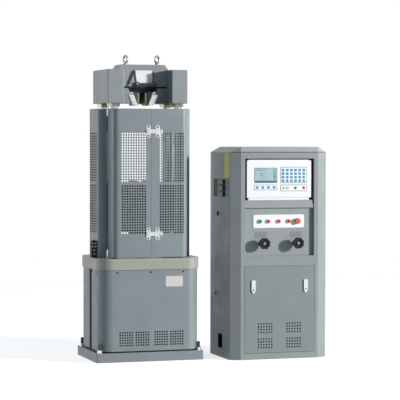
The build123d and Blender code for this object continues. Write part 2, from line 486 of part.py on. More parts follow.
STOP_T, STOP_LAP = 3.0, 16.0
HATCH_T = 3.0
with BuildPart() as console_cabinet:
    with BuildSketch(Plane.XY):
        Polygon(*plan(0), align=None)
    extrude(amount=CON_BODY_TOP)
    with BuildSketch(Plane.XY.offset(PLINTH_T)):
        Polygon(*plan(CON_T), align=None)
    extrude(amount=CON_BODY_TOP - PLINTH_T, mode=Mode.SUBTRACT)
    block(CON_X - BAY_HALF, CON_X + BAY_HALF, CON_FRONT, CON_FRONT + CON_T, BAY_BOTTOM, BAY_TOP,
          Mode.SUBTRACT)
    block(CON_X - HATCH_HALF - HATCH_GAP, CON_X + HATCH_HALF + HATCH_GAP, CON_FRONT, CON_FRONT + CON_T,
          HATCH_BOTTOM - HATCH_GAP, HATCH_TOP + HATCH_GAP, Mode.SUBTRACT)
    block(CON_X - CON_HALF, CON_X - CON_HALF + CON_T, *SOCKET_Y, *SOCKET_Z, Mode.SUBTRACT)
    block(CON_X - CON_HALF, CON_X - CON_HALF + CON_T, *HOSE_Y, *HOSE_Z, Mode.SUBTRACT)
    back_of_hatch = CON_FRONT + HATCH_T
    block(CON_X - HATCH_HALF, CON_X + HATCH_HALF, CON_FRONT + CON_T, back_of_hatch + STOP_T,
          HATCH_TOP + HATCH_GAP, HATCH_TOP + STOP_LAP)
    block(CON_X - HATCH_HALF, CON_X + HATCH_HALF, back_of_hatch, back_of_hatch + STOP_T,
          HATCH_TOP - STOP_LAP, HATCH_TOP + STOP_LAP)
save(console_cabinet, "console_cabinet")


# Console lid, bevelled at the sides, with a groove along its foot
SEAM_IN, SEAM_H = 1.0, 4.0


def lid_front(inset):
    return [(CON_X - CON_HALF + 2 * inset, CON_BODY_TOP), (CON_X + CON_HALF - 2 * inset, CON_BODY_TOP),
            (CON_X + CON_FLAT - inset, CON_TOP - inset), (CON_X - CON_FLAT + inset, CON_TOP - inset)]


with BuildPart() as lid_hollow:
    with BuildSketch(Plane.XZ.offset(-CON_FRONT)):
        Polygon(*lid_front(CON_T), align=None)
    extrude(amount=CON_FRONT - CON_BACK)
    with BuildSketch(Plane.XY.offset(CON_BODY_TOP)):
        Polygon(*plan(CON_T), align=None)
    extrude(amount=LID_H, mode=Mode.INTERSECT)

with BuildPart() as console_lid:
    with BuildSketch(Plane.XZ.offset(-CON_FRONT)):
        Polygon(*lid_front(0), align=None)
    extrude(amount=CON_FRONT - CON_BACK)
    with BuildSketch(Plane.XY.offset(CON_BODY_TOP)):
        Polygon(*plan(0), align=None)
    extrude(amount=LID_H, mode=Mode.INTERSECT)
    add(lid_hollow.part, mode=Mode.SUBTRACT)
    with BuildSketch(Plane.XY.offset(CON_BODY_TOP)):
        Polygon(*plan(-SEAM_IN), align=None)
        Polygon(*plan(SEAM_IN), align=None, mode=Mode.SUBTRACT)
    extrude(amount=SEAM_H, mode=Mode.SUBTRACT)
save(console_lid, "console_lid")

# Hatch over the pump bay, with its two lock handles
with BuildPart() as console_hatch:
    block(CON_X - HATCH_HALF, CON_X + HATCH_HALF, CON_FRONT, CON_FRONT + HATCH_T, HATCH_BOTTOM, HATCH_TOP)
save(console_hatch, "console_hatch")

LOCK_IN, LOCK_DOWN, LOCK_W, LOCK_L, LOCK_T = 63.0, 95.0, 28.0, 85.0, 7.4
LOCK_X, LOCK_Z = HATCH_HALF - LOCK_IN, HATCH_TOP - LOCK_DOWN
LOCK_Y, LOCK_TAPER, LOCK_TIP, LOCK_HEAD, LOCK_EYE_R = CON_FRONT - LOCK_T / 2 - FREE, 24.0, 5.0, 7.0, 5.0
for side, sx in (("left", -1), ("right", 1)):
    with BuildPart() as lock_handle:
        with BuildSketch(Plane.YZ.offset(CON_X + sx * LOCK_X - LOCK_W / 2)):
            with Locations((LOCK_Y, LOCK_Z)):
                Circle(LOCK_T / 2)
            with Locations((LOCK_Y, LOCK_Z - LOCK_L / 2)):
                Rectangle(LOCK_T, LOCK_L)
        extrude(amount=LOCK_W)
        x, tip, head = CON_X + sx * LOCK_X, LOCK_Z - LOCK_L, LOCK_Z + LOCK_T / 2
        with BuildSketch(Plane.XZ.offset(-CON_FRONT - LOCK_T)):
            for s in (-1, 1):
                out = x + s * LOCK_W
                Polygon((x + s * LOCK_TIP, tip - 1), (out, tip - 1),
                        (out, tip + LOCK_TAPER * (LOCK_W - LOCK_TIP) / (LOCK_W / 2 - LOCK_TIP)), align=None)
                Polygon((x + s * LOCK_HEAD, head + 1), (out, head + 1), (out, head - LOCK_W + LOCK_HEAD),
                        align=None)
        extrude(amount=3 * LOCK_T, mode=Mode.SUBTRACT)
        bar_y(x, tip + LOCK_TAPER, CON_FRONT - 2 * LOCK_T, CON_FRONT, LOCK_EYE_R, Mode.SUBTRACT)
    save(lock_handle, "lock_handle_" + side)

# Control panel: frame of the bay, valve panel, sloped ledge and shelf for the display
FRAME_T, FRAME_BACK, PANEL_T, LEDGE_OUT, LEDGE_TOP_OUT, SHELF_D = 3.0, 8.0, 2.5, 18.0, 11.0, 148.0
LEDGE_UP, LEDGE_H = 321.0, 52.0
LEDGE = (BAY_BOTTOM + LEDGE_UP, BAY_BOTTOM + LEDGE_UP + LEDGE_H)
SHELF_BACK = PANEL_Y + SHELF_D
HOLE_R = BUTTON_R + FIT
SPINDLE_R = 7.0
with BuildPart() as control_panel:
    block(CON_X - BAY_HALF - FRAME_T, CON_X + BAY_HALF + FRAME_T, CON_FRONT + CON_T, PANEL_Y + FRAME_BACK,
          BAY_BOTTOM - FRAME_T, BAY_TOP + FRAME_T)
    block(CON_X - BAY_HALF, CON_X + BAY_HALF, CON_FRONT + CON_T, PANEL_Y + FRAME_BACK,
          BAY_BOTTOM, BAY_TOP, Mode.SUBTRACT)
    block(CON_X - BAY_HALF, CON_X + BAY_HALF, PANEL_Y, PANEL_Y + PANEL_T, BAY_BOTTOM, LEDGE[1])
    with BuildSketch(Plane.YZ.offset(CON_X - BAY_HALF)):
        Polygon((PANEL_Y, LEDGE[0]), (PANEL_Y - LEDGE_OUT, LEDGE[0]), (PANEL_Y - LEDGE_TOP_OUT, LEDGE[1]),
                (PANEL_Y, LEDGE[1]), align=None)
    extrude(amount=2 * BAY_HALF)
    block(CON_X - BAY_HALF, CON_X + BAY_HALF, PANEL_Y, SHELF_BACK, LEDGE[1] - FRAME_T, LEDGE[1])
    for x in BUTTON_X:
        bar_y(CON_X + x, BUTTON_Z, PANEL_Y, PANEL_Y + PANEL_T, HOLE_R, Mode.SUBTRACT)
    for sx in (-1, 1):
        bar_y(CON_X + sx * WHEEL_X, WHEEL_Z, PANEL_Y, PANEL_Y + PANEL_T, SPINDLE_R + FIT, Mode.SUBTRACT)
save(control_panel, "control_panel")

# Display unit: wide front plate on a housing that stands on the shelf
DISPLAY_IN, DISPLAY_H, DISPLAY_UP, DISPLAY_T, DISPLAY_SET = 17.6, 247.0, 16.0, 7.0, 12.0
HOUSING_IN, HOUSING_UP, DISPLAY_Y = 13.0, 5.0, CON_FRONT + DISPLAY_SET
DISPLAY_HALF = BAY_HALF - DISPLAY_IN
HOUSING_HALF = DISPLAY_HALF - HOUSING_IN
DISPLAY_Z = (LEDGE[1] + DISPLAY_UP, LEDGE[1] + DISPLAY_UP + DISPLAY_H)
with BuildPart() as display_unit:
    block(CON_X - DISPLAY_HALF, CON_X + DISPLAY_HALF, DISPLAY_Y, DISPLAY_Y + DISPLAY_T, *DISPLAY_Z)
    block(CON_X - HOUSING_HALF, CON_X + HOUSING_HALF, DISPLAY_Y + DISPLAY_T, SHELF_BACK,
          LEDGE[1], DISPLAY_Z[1] + HOUSING_UP)
save(display_unit, "display_unit")

# Button plate, bezels and push buttons
STRIP_IN, STRIP_H, STRIP_R, STRIP_T = 65.1, 88.0, 10.0, 3.0
STRIP_HALF = BAY_HALF - STRIP_IN
BEZEL_R, BEZEL_T, CAP_OUT, CAP_IN, HEAD_R, MUSHROOM_T = 15.0, 5.0, 15.0, 6.0, 20.0, 12.0
STRIP_Y = PANEL_Y - STRIP_T
with BuildPart() as button_plate:
    with BuildSketch(Plane.XZ.offset(-PANEL_Y)):
        with Locations((CON_X, BUTTON_Z)):
            RectangleRounded(2 * STRIP_HALF, STRIP_H, STRIP_R)
        with Locations(*[(CON_X + x, BUTTON_Z) for x in BUTTON_X]):
            Circle(HOLE_R, mode=Mode.SUBTRACT)
    extrude(amount=STRIP_T)
save(button_plate, "button_plate")

with BuildPart() as button_bezels:
    with BuildSketch(Plane.XZ.offset(-STRIP_Y)):
        with Locations(*[(CON_X + x, BUTTON_Z) for x in BUTTON_X]):
            Circle(BEZEL_R)
            Circle(HOLE_R, mode=Mode.SUBTRACT)
    extrude(amount=BEZEL_T)
save(button_bezels, "button_bezels")

BUTTONS = ("button_start", "button_stop", "button_lamp", "button_reset", "emergency_stop")
for name, x in zip(BUTTONS, BUTTON_X):
    with BuildPart() as button:
        bar_y(CON_X + x, BUTTON_Z, PANEL_Y - CAP_OUT, PANEL_Y + CAP_IN, BUTTON_R)
        if name == "emergency_stop":
            bar_y(CON_X + x, BUTTON_Z, PANEL_Y - CAP_OUT - MUSHROOM_T, PANEL_Y - CAP_OUT, HEAD_R)
            fillet(button.edges().group_by(Axis.Y)[0], 5)
        else:
            chamfer(button.edges().group_by(Axis.Y)[0], 1)
    save(button, name)

# Valve handwheels with lobed rims, and the throttle valves behind the panel
LOBES, RIM_BACK, RIM_FRONT, SPINDLE_END, HUB_R, HUB_BACK = 8, 46.0, 68.0, 50.0, 13.0, 4.0
HOLLOW_AT, HOLLOW_R, DISH_R, DISH, BOSS_R = 0.62 * WHEEL_DIA, 0.17 * WHEEL_DIA, 0.31 * WHEEL_DIA, 9.0, 12.0
VALVE_HALF, VALVE_BACK = 32.0, 75.0
for side, sx in (("left", -1), ("right", 1)):
    x = CON_X + sx * WHEEL_X
    with BuildPart() as handwheel:
        bar_y(x, WHEEL_Z, PANEL_Y - RIM_FRONT, PANEL_Y - RIM_BACK, WHEEL_DIA / 2)
        for n in range(LOBES):
            turn = radians(360 / LOBES * n)
            bar_y(x + HOLLOW_AT * cos(turn), WHEEL_Z + HOLLOW_AT * sin(turn),
                  PANEL_Y - RIM_FRONT, PANEL_Y - RIM_BACK, HOLLOW_R, Mode.SUBTRACT)
        bar_y(x, WHEEL_Z, PANEL_Y - RIM_FRONT, PANEL_Y - RIM_FRONT + DISH, DISH_R, Mode.SUBTRACT)
        bar_y(x, WHEEL_Z, PANEL_Y - RIM_FRONT + DISH / 2, PANEL_Y - RIM_BACK, BOSS_R)
        bar_y(x, WHEEL_Z, PANEL_Y - RIM_BACK, PANEL_Y - HUB_BACK, HUB_R)
        bar_y(x, WHEEL_Z, PANEL_Y - HUB_BACK, PANEL_Y + SPINDLE_END, SPINDLE_R)
    save(handwheel, "handwheel_" + side)

with BuildPart() as throttle_valves:
    for sx in (-1, 1):
        x = CON_X + sx * WHEEL_X
        block(x - VALVE_HALF, x + VALVE_HALF, PANEL_Y + PANEL_T, PANEL_Y + VALVE_BACK,
              WHEEL_Z - VALVE_HALF, WHEEL_Z + VALVE_HALF)
        bar_y(x, WHEEL_Z, PANEL_Y + PANEL_T, PANEL_Y + SPINDLE_END, SPINDLE_R + FIT, Mode.SUBTRACT)
save(throttle_valves, "throttle_valves")

# Oil tank and pump motor inside the cabinet
TANK_IN, TANK_FRONT, TANK_BEHIND, TANK_TOP, TANK_T, TANK_R = 111.0, 129.0, 20.0, 300.0, 8.0, 20.0
TANK_HALF, TANK_Y = CON_HALF - TANK_IN, (CON_FRONT + TANK_FRONT, CON_BACK - TANK_BEHIND)
PUMP_Y, PUMP_R, PUMP_H, PUMP_FOOT_R, PUMP_FOOT_T = -100.0, 80.0, 250.0, 110.0, 15.0
TERMINAL_IN, TERMINAL_OUT, TERMINAL_HALF, TERMINAL_UP, TERMINAL_H = 10.0, 35.0, 40.0, 130.0, 70.0
TERMINAL_Z = (TANK_TOP + TERMINAL_UP, TANK_TOP + TERMINAL_UP + TERMINAL_H)
with BuildPart() as oil_tank:
    block(CON_X - TANK_HALF, CON_X + TANK_HALF, *TANK_Y, PLINTH_T, TANK_TOP)
    fillet(oil_tank.edges().filter_by(Axis.Z), TANK_R)
    block(CON_X - TANK_HALF + TANK_T, CON_X + TANK_HALF - TANK_T, TANK_Y[0] + TANK_T, TANK_Y[1] - TANK_T,
          PLINTH_T + TANK_T, TANK_TOP - TANK_T, Mode.SUBTRACT)
    post(CON_X, PUMP_Y, TANK_TOP - TANK_T, TANK_TOP, PUMP_R / 2, Mode.SUBTRACT)
save(oil_tank, "oil_tank")

with BuildPart() as pump_motor:
    post(CON_X, PUMP_Y, TANK_TOP, TANK_TOP + PUMP_FOOT_T, PUMP_FOOT_R)
    post(CON_X, PUMP_Y, TANK_TOP + PUMP_FOOT_T, TANK_TOP + PUMP_H, PUMP_R)
    block(CON_X + PUMP_R - TERMINAL_IN, CON_X + PUMP_R + TERMINAL_OUT, PUMP_Y - TERMINAL_HALF,
          PUMP_Y + TERMINAL_HALF, *TERMINAL_Z)
save(pump_motor, "pump_motor")

# Sockets in the side window of the cabinet
WINDOW_X = CON_X - CON_HALF + CON_T
SOCKET_R, SOCKET_OUT, SOCKET_STEP, SOCKET_PLATE_T, SOCKET_LAP = 17.0, 14.0, 39.0, 2.0, 10.0
SOCKET_IN = 57.0
SOCKET_LINE, SOCKET_MID = SOCKET_Y[0] + SOCKET_IN, sum(SOCKET_Z) / 2
with BuildPart() as side_sockets:
    block(WINDOW_X, WINDOW_X + SOCKET_PLATE_T, SOCKET_Y[0] - SOCKET_LAP, SOCKET_Y[1] + SOCKET_LAP,
          SOCKET_Z[0] - SOCKET_LAP, SOCKET_Z[1] + SOCKET_LAP)
    for n in (-1, 0, 1):
        with Locations((WINDOW_X - SOCKET_OUT / 2 + 1, SOCKET_LINE, SOCKET_MID + n * SOCKET_STEP)):
            Cylinder(SOCKET_R, SOCKET_OUT + SOCKET_PLATE_T, rotation=(0, 90, 0))
save(side_sockets, "side_sockets")
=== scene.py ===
import json
from math import cos, pi, radians, sin

import bmesh
import bpy
from mathutils import Matrix, Vector

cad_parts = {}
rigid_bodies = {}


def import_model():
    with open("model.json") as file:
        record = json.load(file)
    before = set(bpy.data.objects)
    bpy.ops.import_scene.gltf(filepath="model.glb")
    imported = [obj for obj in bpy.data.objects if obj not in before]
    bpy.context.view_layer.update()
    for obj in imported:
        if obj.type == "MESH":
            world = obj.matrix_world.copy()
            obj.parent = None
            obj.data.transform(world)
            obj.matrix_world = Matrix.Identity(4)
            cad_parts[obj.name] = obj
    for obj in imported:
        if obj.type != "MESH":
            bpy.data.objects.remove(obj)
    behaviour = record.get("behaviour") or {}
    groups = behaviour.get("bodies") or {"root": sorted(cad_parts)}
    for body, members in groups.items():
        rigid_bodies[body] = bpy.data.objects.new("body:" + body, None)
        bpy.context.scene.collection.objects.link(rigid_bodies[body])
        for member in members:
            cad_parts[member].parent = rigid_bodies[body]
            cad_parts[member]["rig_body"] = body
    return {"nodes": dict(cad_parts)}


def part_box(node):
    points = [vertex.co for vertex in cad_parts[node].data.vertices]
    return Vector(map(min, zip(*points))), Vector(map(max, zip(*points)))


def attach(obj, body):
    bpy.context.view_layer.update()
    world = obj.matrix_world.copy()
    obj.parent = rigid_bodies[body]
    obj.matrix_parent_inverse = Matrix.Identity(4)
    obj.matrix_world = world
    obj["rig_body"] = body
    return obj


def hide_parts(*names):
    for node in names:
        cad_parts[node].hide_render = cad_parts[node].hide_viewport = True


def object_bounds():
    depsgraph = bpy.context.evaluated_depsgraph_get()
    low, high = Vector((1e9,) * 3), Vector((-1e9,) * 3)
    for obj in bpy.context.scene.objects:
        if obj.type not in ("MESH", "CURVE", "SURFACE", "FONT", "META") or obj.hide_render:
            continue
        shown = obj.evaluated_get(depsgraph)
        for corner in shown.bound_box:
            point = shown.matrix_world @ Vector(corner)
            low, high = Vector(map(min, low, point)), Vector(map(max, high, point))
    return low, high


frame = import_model()
CAD_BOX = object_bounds()
NODES = frame["nodes"]

bl_info = {
    "name": "Testing Machine Dressing",
    "version": (1, 0, 0),
    "blender": (4, 5, 0),
    "location": "View3D > Sidebar > Testing Machine",
    "description": "Paint, perforated guard, keys and small fittings of a testing machine and its console",
    "category": "Object",
}

# Places taken from the frame; all sizes and places are in metres
DOOR_LEFT, DOOR_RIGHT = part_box("guard_door_left"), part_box("guard_door_right")
SIDE_LEFT, SIDE_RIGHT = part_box("guard_side_left"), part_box("guard_side_right")
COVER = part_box("base_front_cover")
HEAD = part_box("upper_crosshead")
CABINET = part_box("console_cabinet")
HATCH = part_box("console_hatch")
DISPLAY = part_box("display_unit")
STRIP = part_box("button_plate")
CON_X = (CABINET[0][0] + CABINET[1][0]) / 2
PANEL_FACE = STRIP[1][1]

# Vertices nearer than this are one
WELD = 2e-6

FINISH = {}


class FinishColours(bpy.types.PropertyGroup):
    """Colours of the paints, plastics and metals."""
    guard_grey: bpy.props.FloatVectorProperty(
        name="Guard grey", description="Textured paint of the guard and base", size=3,
        subtype="COLOR", min=0, max=1, default=(0.235, 0.275, 0.290))
    head_grey: bpy.props.FloatVectorProperty(
        name="Head grey", description="Paint of the upper crosshead", size=3,
        subtype="COLOR", min=0, max=1, default=(0.286, 0.314, 0.324))
    table_grey: bpy.props.FloatVectorProperty(
        name="Table grey", description="Warm paint of the worktable skirt", size=3,
        subtype="COLOR", min=0, max=1, default=(0.380, 0.383, 0.338))
    console_grey: bpy.props.FloatVectorProperty(
        name="Console grey", description="Paint of the console", size=3,
        subtype="COLOR", min=0, max=1, default=(0.273, 0.304, 0.308))
    lid_grey: bpy.props.FloatVectorProperty(
        name="Lid grey", description="Paint of the console lid", size=3,
        subtype="COLOR", min=0, max=1, default=(0.360, 0.392, 0.393))
    hatch_grey: bpy.props.FloatVectorProperty(
        name="Hatch grey", description="Darker paint of the hatch", size=3,
        subtype="COLOR", min=0, max=1, default=(0.222, 0.262, 0.265))
    recess_grey: bpy.props.FloatVectorProperty(
        name="Recess grey", description="Paint of the control panel in its recess", size=3,
        subtype="COLOR", min=0, max=1, default=(0.300, 0.332, 0.333))
    panel_white: bpy.props.FloatVectorProperty(
        name="Panel white", description="Printed front of the display and button plate", size=3,
        subtype="COLOR", min=0, max=1, default=(0.91, 0.92, 0.93))
    key_blue: bpy.props.FloatVectorProperty(
        name="Key blue", description="Keys of the display", size=3,
        subtype="COLOR", min=0, max=1, default=(0.075, 0.32, 0.52))
    screen: bpy.props.FloatVectorProperty(
        name="Screen", description="Lit ground of the display screen", size=3,
        subtype="COLOR", min=0, max=1, default=(0.40, 0.60, 0.62))
    signal_red: bpy.props.FloatVectorProperty(
        name="Signal red", description="Stop and reset buttons", size=3,
        subtype="COLOR", min=0, max=1, default=(0.62, 0.03, 0.035))
    stop_orange: bpy.props.FloatVectorProperty(
        name="Stop orange", description="Mushroom head of the emergency stop", size=3,
        subtype="COLOR", min=0, max=1, default=(0.72, 0.13, 0.08))
    signal_green: bpy.props.FloatVectorProperty(
        name="Signal green", description="Start button", size=3,
        subtype="COLOR", min=0, max=1, default=(0.01, 0.26, 0.13))
    strip_yellow: bpy.props.FloatVectorProperty(
        name="Strip yellow", description="Blank strip on the side of the console", size=3,
        subtype="COLOR", min=0, max=1, default=(0.90, 0.77, 0.12))


class DressingSizes(bpy.types.PropertyGroup):
    """Sizes of the holes, threads and small fittings."""
    hole_dia: bpy.props.FloatProperty(
        name="Guard hole", description="Diameter of the holes in the guard", unit="LENGTH",
        min=0.002, max=0.014, default=0.0124)
    hole_pitch: bpy.props.FloatProperty(
        name="Guard pitch", description="Distance from hole to hole in the guard", unit="LENGTH",
        min=0.012, max=0.03, default=0.0172)
    vent_dia: bpy.props.FloatProperty(
        name="Vent hole", description="Diameter of the holes in the base cover and hatch", unit="LENGTH",
        min=0.002, max=0.014, default=0.0112)
    thread_pitch: bpy.props.FloatProperty(
        name="Thread pitch", description="Rise of the lead screw in one turn", unit="LENGTH",
        min=0.006, max=0.03, default=0.012)
    thread_depth: bpy.props.FloatProperty(
        name="Thread depth", description="Depth of the lead screw thread", unit="LENGTH",
        min=0.001, max=0.006, default=0.0045)
    screw_dia: bpy.props.FloatProperty(
        name="Cover screw", description="Head diameter of the cover screws", unit="LENGTH",
        min=0.004, max=0.02, default=0.013)


class StageSettings(bpy.types.PropertyGroup):
    """Camera and light."""
    lens: bpy.props.FloatProperty(
        name="Lens", description="Focal length in millimetres", min=20, max=400, default=162.0)
    key_power: bpy.props.FloatProperty(
        name="Key light", description="Power of the large lamp at the right", unit="POWER",
        min=0, max=9000, default=2870.0)
    fill_power: bpy.props.FloatProperty(
        name="Fill light", description="Power of the soft lamp at the left", unit="POWER",
        min=0, max=3000, default=112.0)
    sky: bpy.props.FloatProperty(
        name="Sky", description="Strength of the even light from all sides", min=0, max=2, default=0.20)


# Shader building blocks
def shader(name):
    finish = bpy.data.materials.new(name)
    finish.use_nodes = True
    nodes = finish.node_tree.nodes
    FINISH[name] = finish
    return finish, nodes, finish.node_tree.links, nodes["Principled BSDF"]


def grain(nodes, links, scale, stretch=(1, 1, 1), detail=3.0):
    """Noise laid over the piece in its own coordinates."""
    place = nodes.new("ShaderNodeTexCoord")
    mapping = nodes.new("ShaderNodeMapping")
    mapping.inputs["Scale"].default_value = stretch
    noise = nodes.new("ShaderNodeTexNoise")
    noise.inputs["Scale"].default_value = scale
    noise.inputs["Detail"].default_value = detail
    links.new(place.outputs["Object"], mapping.inputs["Vector"])
    links.new(mapping.outputs["Vector"], noise.inputs["Vector"])
    return noise.outputs["Fac"]


def spread(nodes, links, source, low, high, start=0.3, end=0.7):
    """Map a noise to a range of values."""
    span = nodes.new("ShaderNodeMapRange")
    span.inputs["From Min"].default_value = start
    span.inputs["From Max"].default_value = end
    span.inputs["To Min"].default_value = low
    span.inputs["To Max"].default_value = high
    links.new(source, span.inputs["Value"])
    return span.outputs["Result"]


def blend_colours(nodes, links, factor, first, second):
    """Mix two colours, or a colour and a socket, by a factor socket."""
    mix = nodes.new("ShaderNodeMix")
    mix.data_type = "RGBA"
    links.new(factor, mix.inputs["Factor"])
    for socket, value in ((mix.inputs["A"], first), (mix.inputs["B"], second)):
        if isinstance(value, bpy.types.NodeSocket):
            links.new(value, socket)
        else:
            socket.default_value = (*value, 1)
    return mix.outputs["Result"]


def soft_edges(nodes, radius):
    """Normal that rounds sharp edges by a small radius."""
    bevel = nodes.new("ShaderNodeBevel")
    bevel.samples = 4
    bevel.inputs["Radius"].default_value = radius
    return bevel.outputs["Normal"]


def relief(nodes, links, bsdf, height, depth, edge_radius):
    """Small bumps over rounded edges."""
    bump = nodes.new("ShaderNodeBump")
    bump.inputs["Distance"].default_value = depth
    bump.inputs["Strength"].default_value = 0.6
    links.new(height, bump.inputs["Height"])
    links.new(soft_edges(nodes, edge_radius), bump.inputs["Normal"])
    links.new(bump.outputs["Normal"], bsdf.inputs["Normal"])


def edge_wear(nodes, links, radius):
    """Factor that is high along outer edges, where paint rubs thin."""
    geometry = nodes.new("ShaderNodeNewGeometry")
    dot = nodes.new("ShaderNodeVectorMath")
    dot.operation = "DOT_PRODUCT"
    links.new(soft_edges(nodes, radius), dot.inputs[0])
    links.new(geometry.outputs["Normal"], dot.inputs[1])
    return spread(nodes, links, dot.outputs["Value"], 0.5, 0.0, 0.72, 0.985)


def ray_seen(nodes, links, *others):
    """1 for a camera ray or a ray of one of the other kinds, else 0."""
    path = nodes.new("ShaderNodeLightPath")
    seen = path.outputs["Is Camera Ray"]
    for kind in others:
        either = nodes.new("ShaderNodeMath")
        either.operation = "MAXIMUM"
        links.new(seen, either.inputs[0])
        links.new(path.outputs[kind], either.inputs[1])
        seen = either.outputs["Value"]
    return seen


def shade_of(colour, factor):
    return tuple(min(1.0, channel * factor) for channel in colour)


def sprayed_paint(name, colour, rough=(0.36, 0.5), peel=0.0004, edge=0.0016, gloss=0.42):
    """Sprayed paint with orange peel, a slight unevenness and lighter edges."""
    finish, nodes, links, bsdf = shader(name)
    clouds = spread(nodes, links, grain(nodes, links, 4.0), 0.0, 1.0)
    ground = blend_colours(nodes, links, clouds, shade_of(colour, 0.95), shade_of(colour, 1.05))
    worn = blend_colours(nodes, links, edge_wear(nodes, links, edge), ground, shade_of(colour, 1.35))
    links.new(worn, bsdf.inputs["Base Color"])
    links.new(spread(nodes, links, grain(nodes, links, 9.0), *rough), bsdf.inputs["Roughness"])
    bsdf.inputs["Specular IOR Level"].default_value = gloss
    relief(nodes, links, bsdf, grain(nodes, links, 420.0), peel, edge)
    return finish


def worked_metal(name, colour, rough, stretch, scale=60.0, tint=(0.86, 1.06), depth=0.00008, edge=0.0008):
    """Bare metal with tool marks drawn out along one direction."""
    finish, nodes, links, bsdf = shader(name)
    marks = grain(nodes, links, scale, stretch, 5.0)
    tone = blend_colours(nodes, links, spread(nodes, links, marks, 0, 1), shade_of(colour, tint[0]),
                         shade_of(colour, tint[1]))
    links.new(tone, bsdf.inputs["Base Color"])
    links.new(spread(nodes, links, marks, *rough), bsdf.inputs["Roughness"])
    bsdf.inputs["Metallic"].default_value = 1.0
    relief(nodes, links, bsdf, marks, depth, edge)
    return finish


def moulded_plastic(name, colour, rough=(0.3, 0.42), depth=0.00012, edge=0.0008, gloss=0.5, uneven=0.07):
    """Moulded plastic with a fine spark-eroded grain."""
    finish, nodes, links, bsdf = shader(name)
    clouds = spread(nodes, links, grain(nodes, links, 25.0), 0.0, 1.0)
    tone = blend_colours(nodes, links, clouds, shade_of(colour, 1 - uneven), shade_of(colour, 1 + uneven))
    links.new(tone, bsdf.inputs["Base Color"])
    links.new(spread(nodes, links, grain(nodes, links, 90.0), *rough), bsdf.inputs["Roughness"])
    bsdf.inputs["Specular IOR Level"].default_value = gloss
    relief(nodes, links, bsdf, grain(nodes, links, 1500.0), depth, edge)
    return finish


# Lower and upper edge of the screen over the foot of the display, and its dark foot line
SCREEN_LOW, SCREEN_HIGH = 0.118, 0.211
FOOT_LINE_SHARE, FOOT_LINE_COLOUR = 0.13, (0.10, 0.17, 0.22)


def screen_glass(name, colour):
    """Lit screen with a dark foot line and a fine dot raster."""
    finish, nodes, links, bsdf = shader(name)
    place = nodes.new("ShaderNodeTexCoord")
    axes = nodes.new("ShaderNodeSeparateXYZ")
    links.new(place.outputs["Object"], axes.inputs["Vector"])
    foot = nodes.new("ShaderNodeMath")
    foot.operation = "LESS_THAN"
    foot.inputs[1].default_value = DISPLAY[0][2] + SCREEN_LOW + (SCREEN_HIGH - SCREEN_LOW) * FOOT_LINE_SHARE
    links.new(axes.outputs["Z"], foot.inputs[0])
    clouds = spread(nodes, links, grain(nodes, links, 14.0), 0, 1)
    ground = blend_colours(nodes, links, clouds, shade_of(colour, 0.9), shade_of(colour, 1.08))
    rows = nodes.new("ShaderNodeTexWave")
    rows.bands_direction = "Z"
    rows.inputs["Scale"].default_value = 160.0
    links.new(place.outputs["Object"], rows.inputs["Vector"])
    raster = spread(nodes, links, rows.outputs["Fac"], 0.0, 0.12, 0, 1)
    dots = blend_colours(nodes, links, raster, ground, shade_of(colour, 0.5))
    tone = blend_colours(nodes, links, foot.outputs["Value"], dots, FOOT_LINE_COLOUR)
    links.new(tone, bsdf.inputs["Base Color"])
    links.new(spread(nodes, links, grain(nodes, links, 40.0), 0.12, 0.2), bsdf.inputs["Roughness"])
    bsdf.inputs["Coat Weight"].default_value = 0.4
    return finish


# Roughness and peel of the smooth paint on the console
SMOOTH_ROUGH, SMOOTH_PEEL = (0.34, 0.46), 0.00025


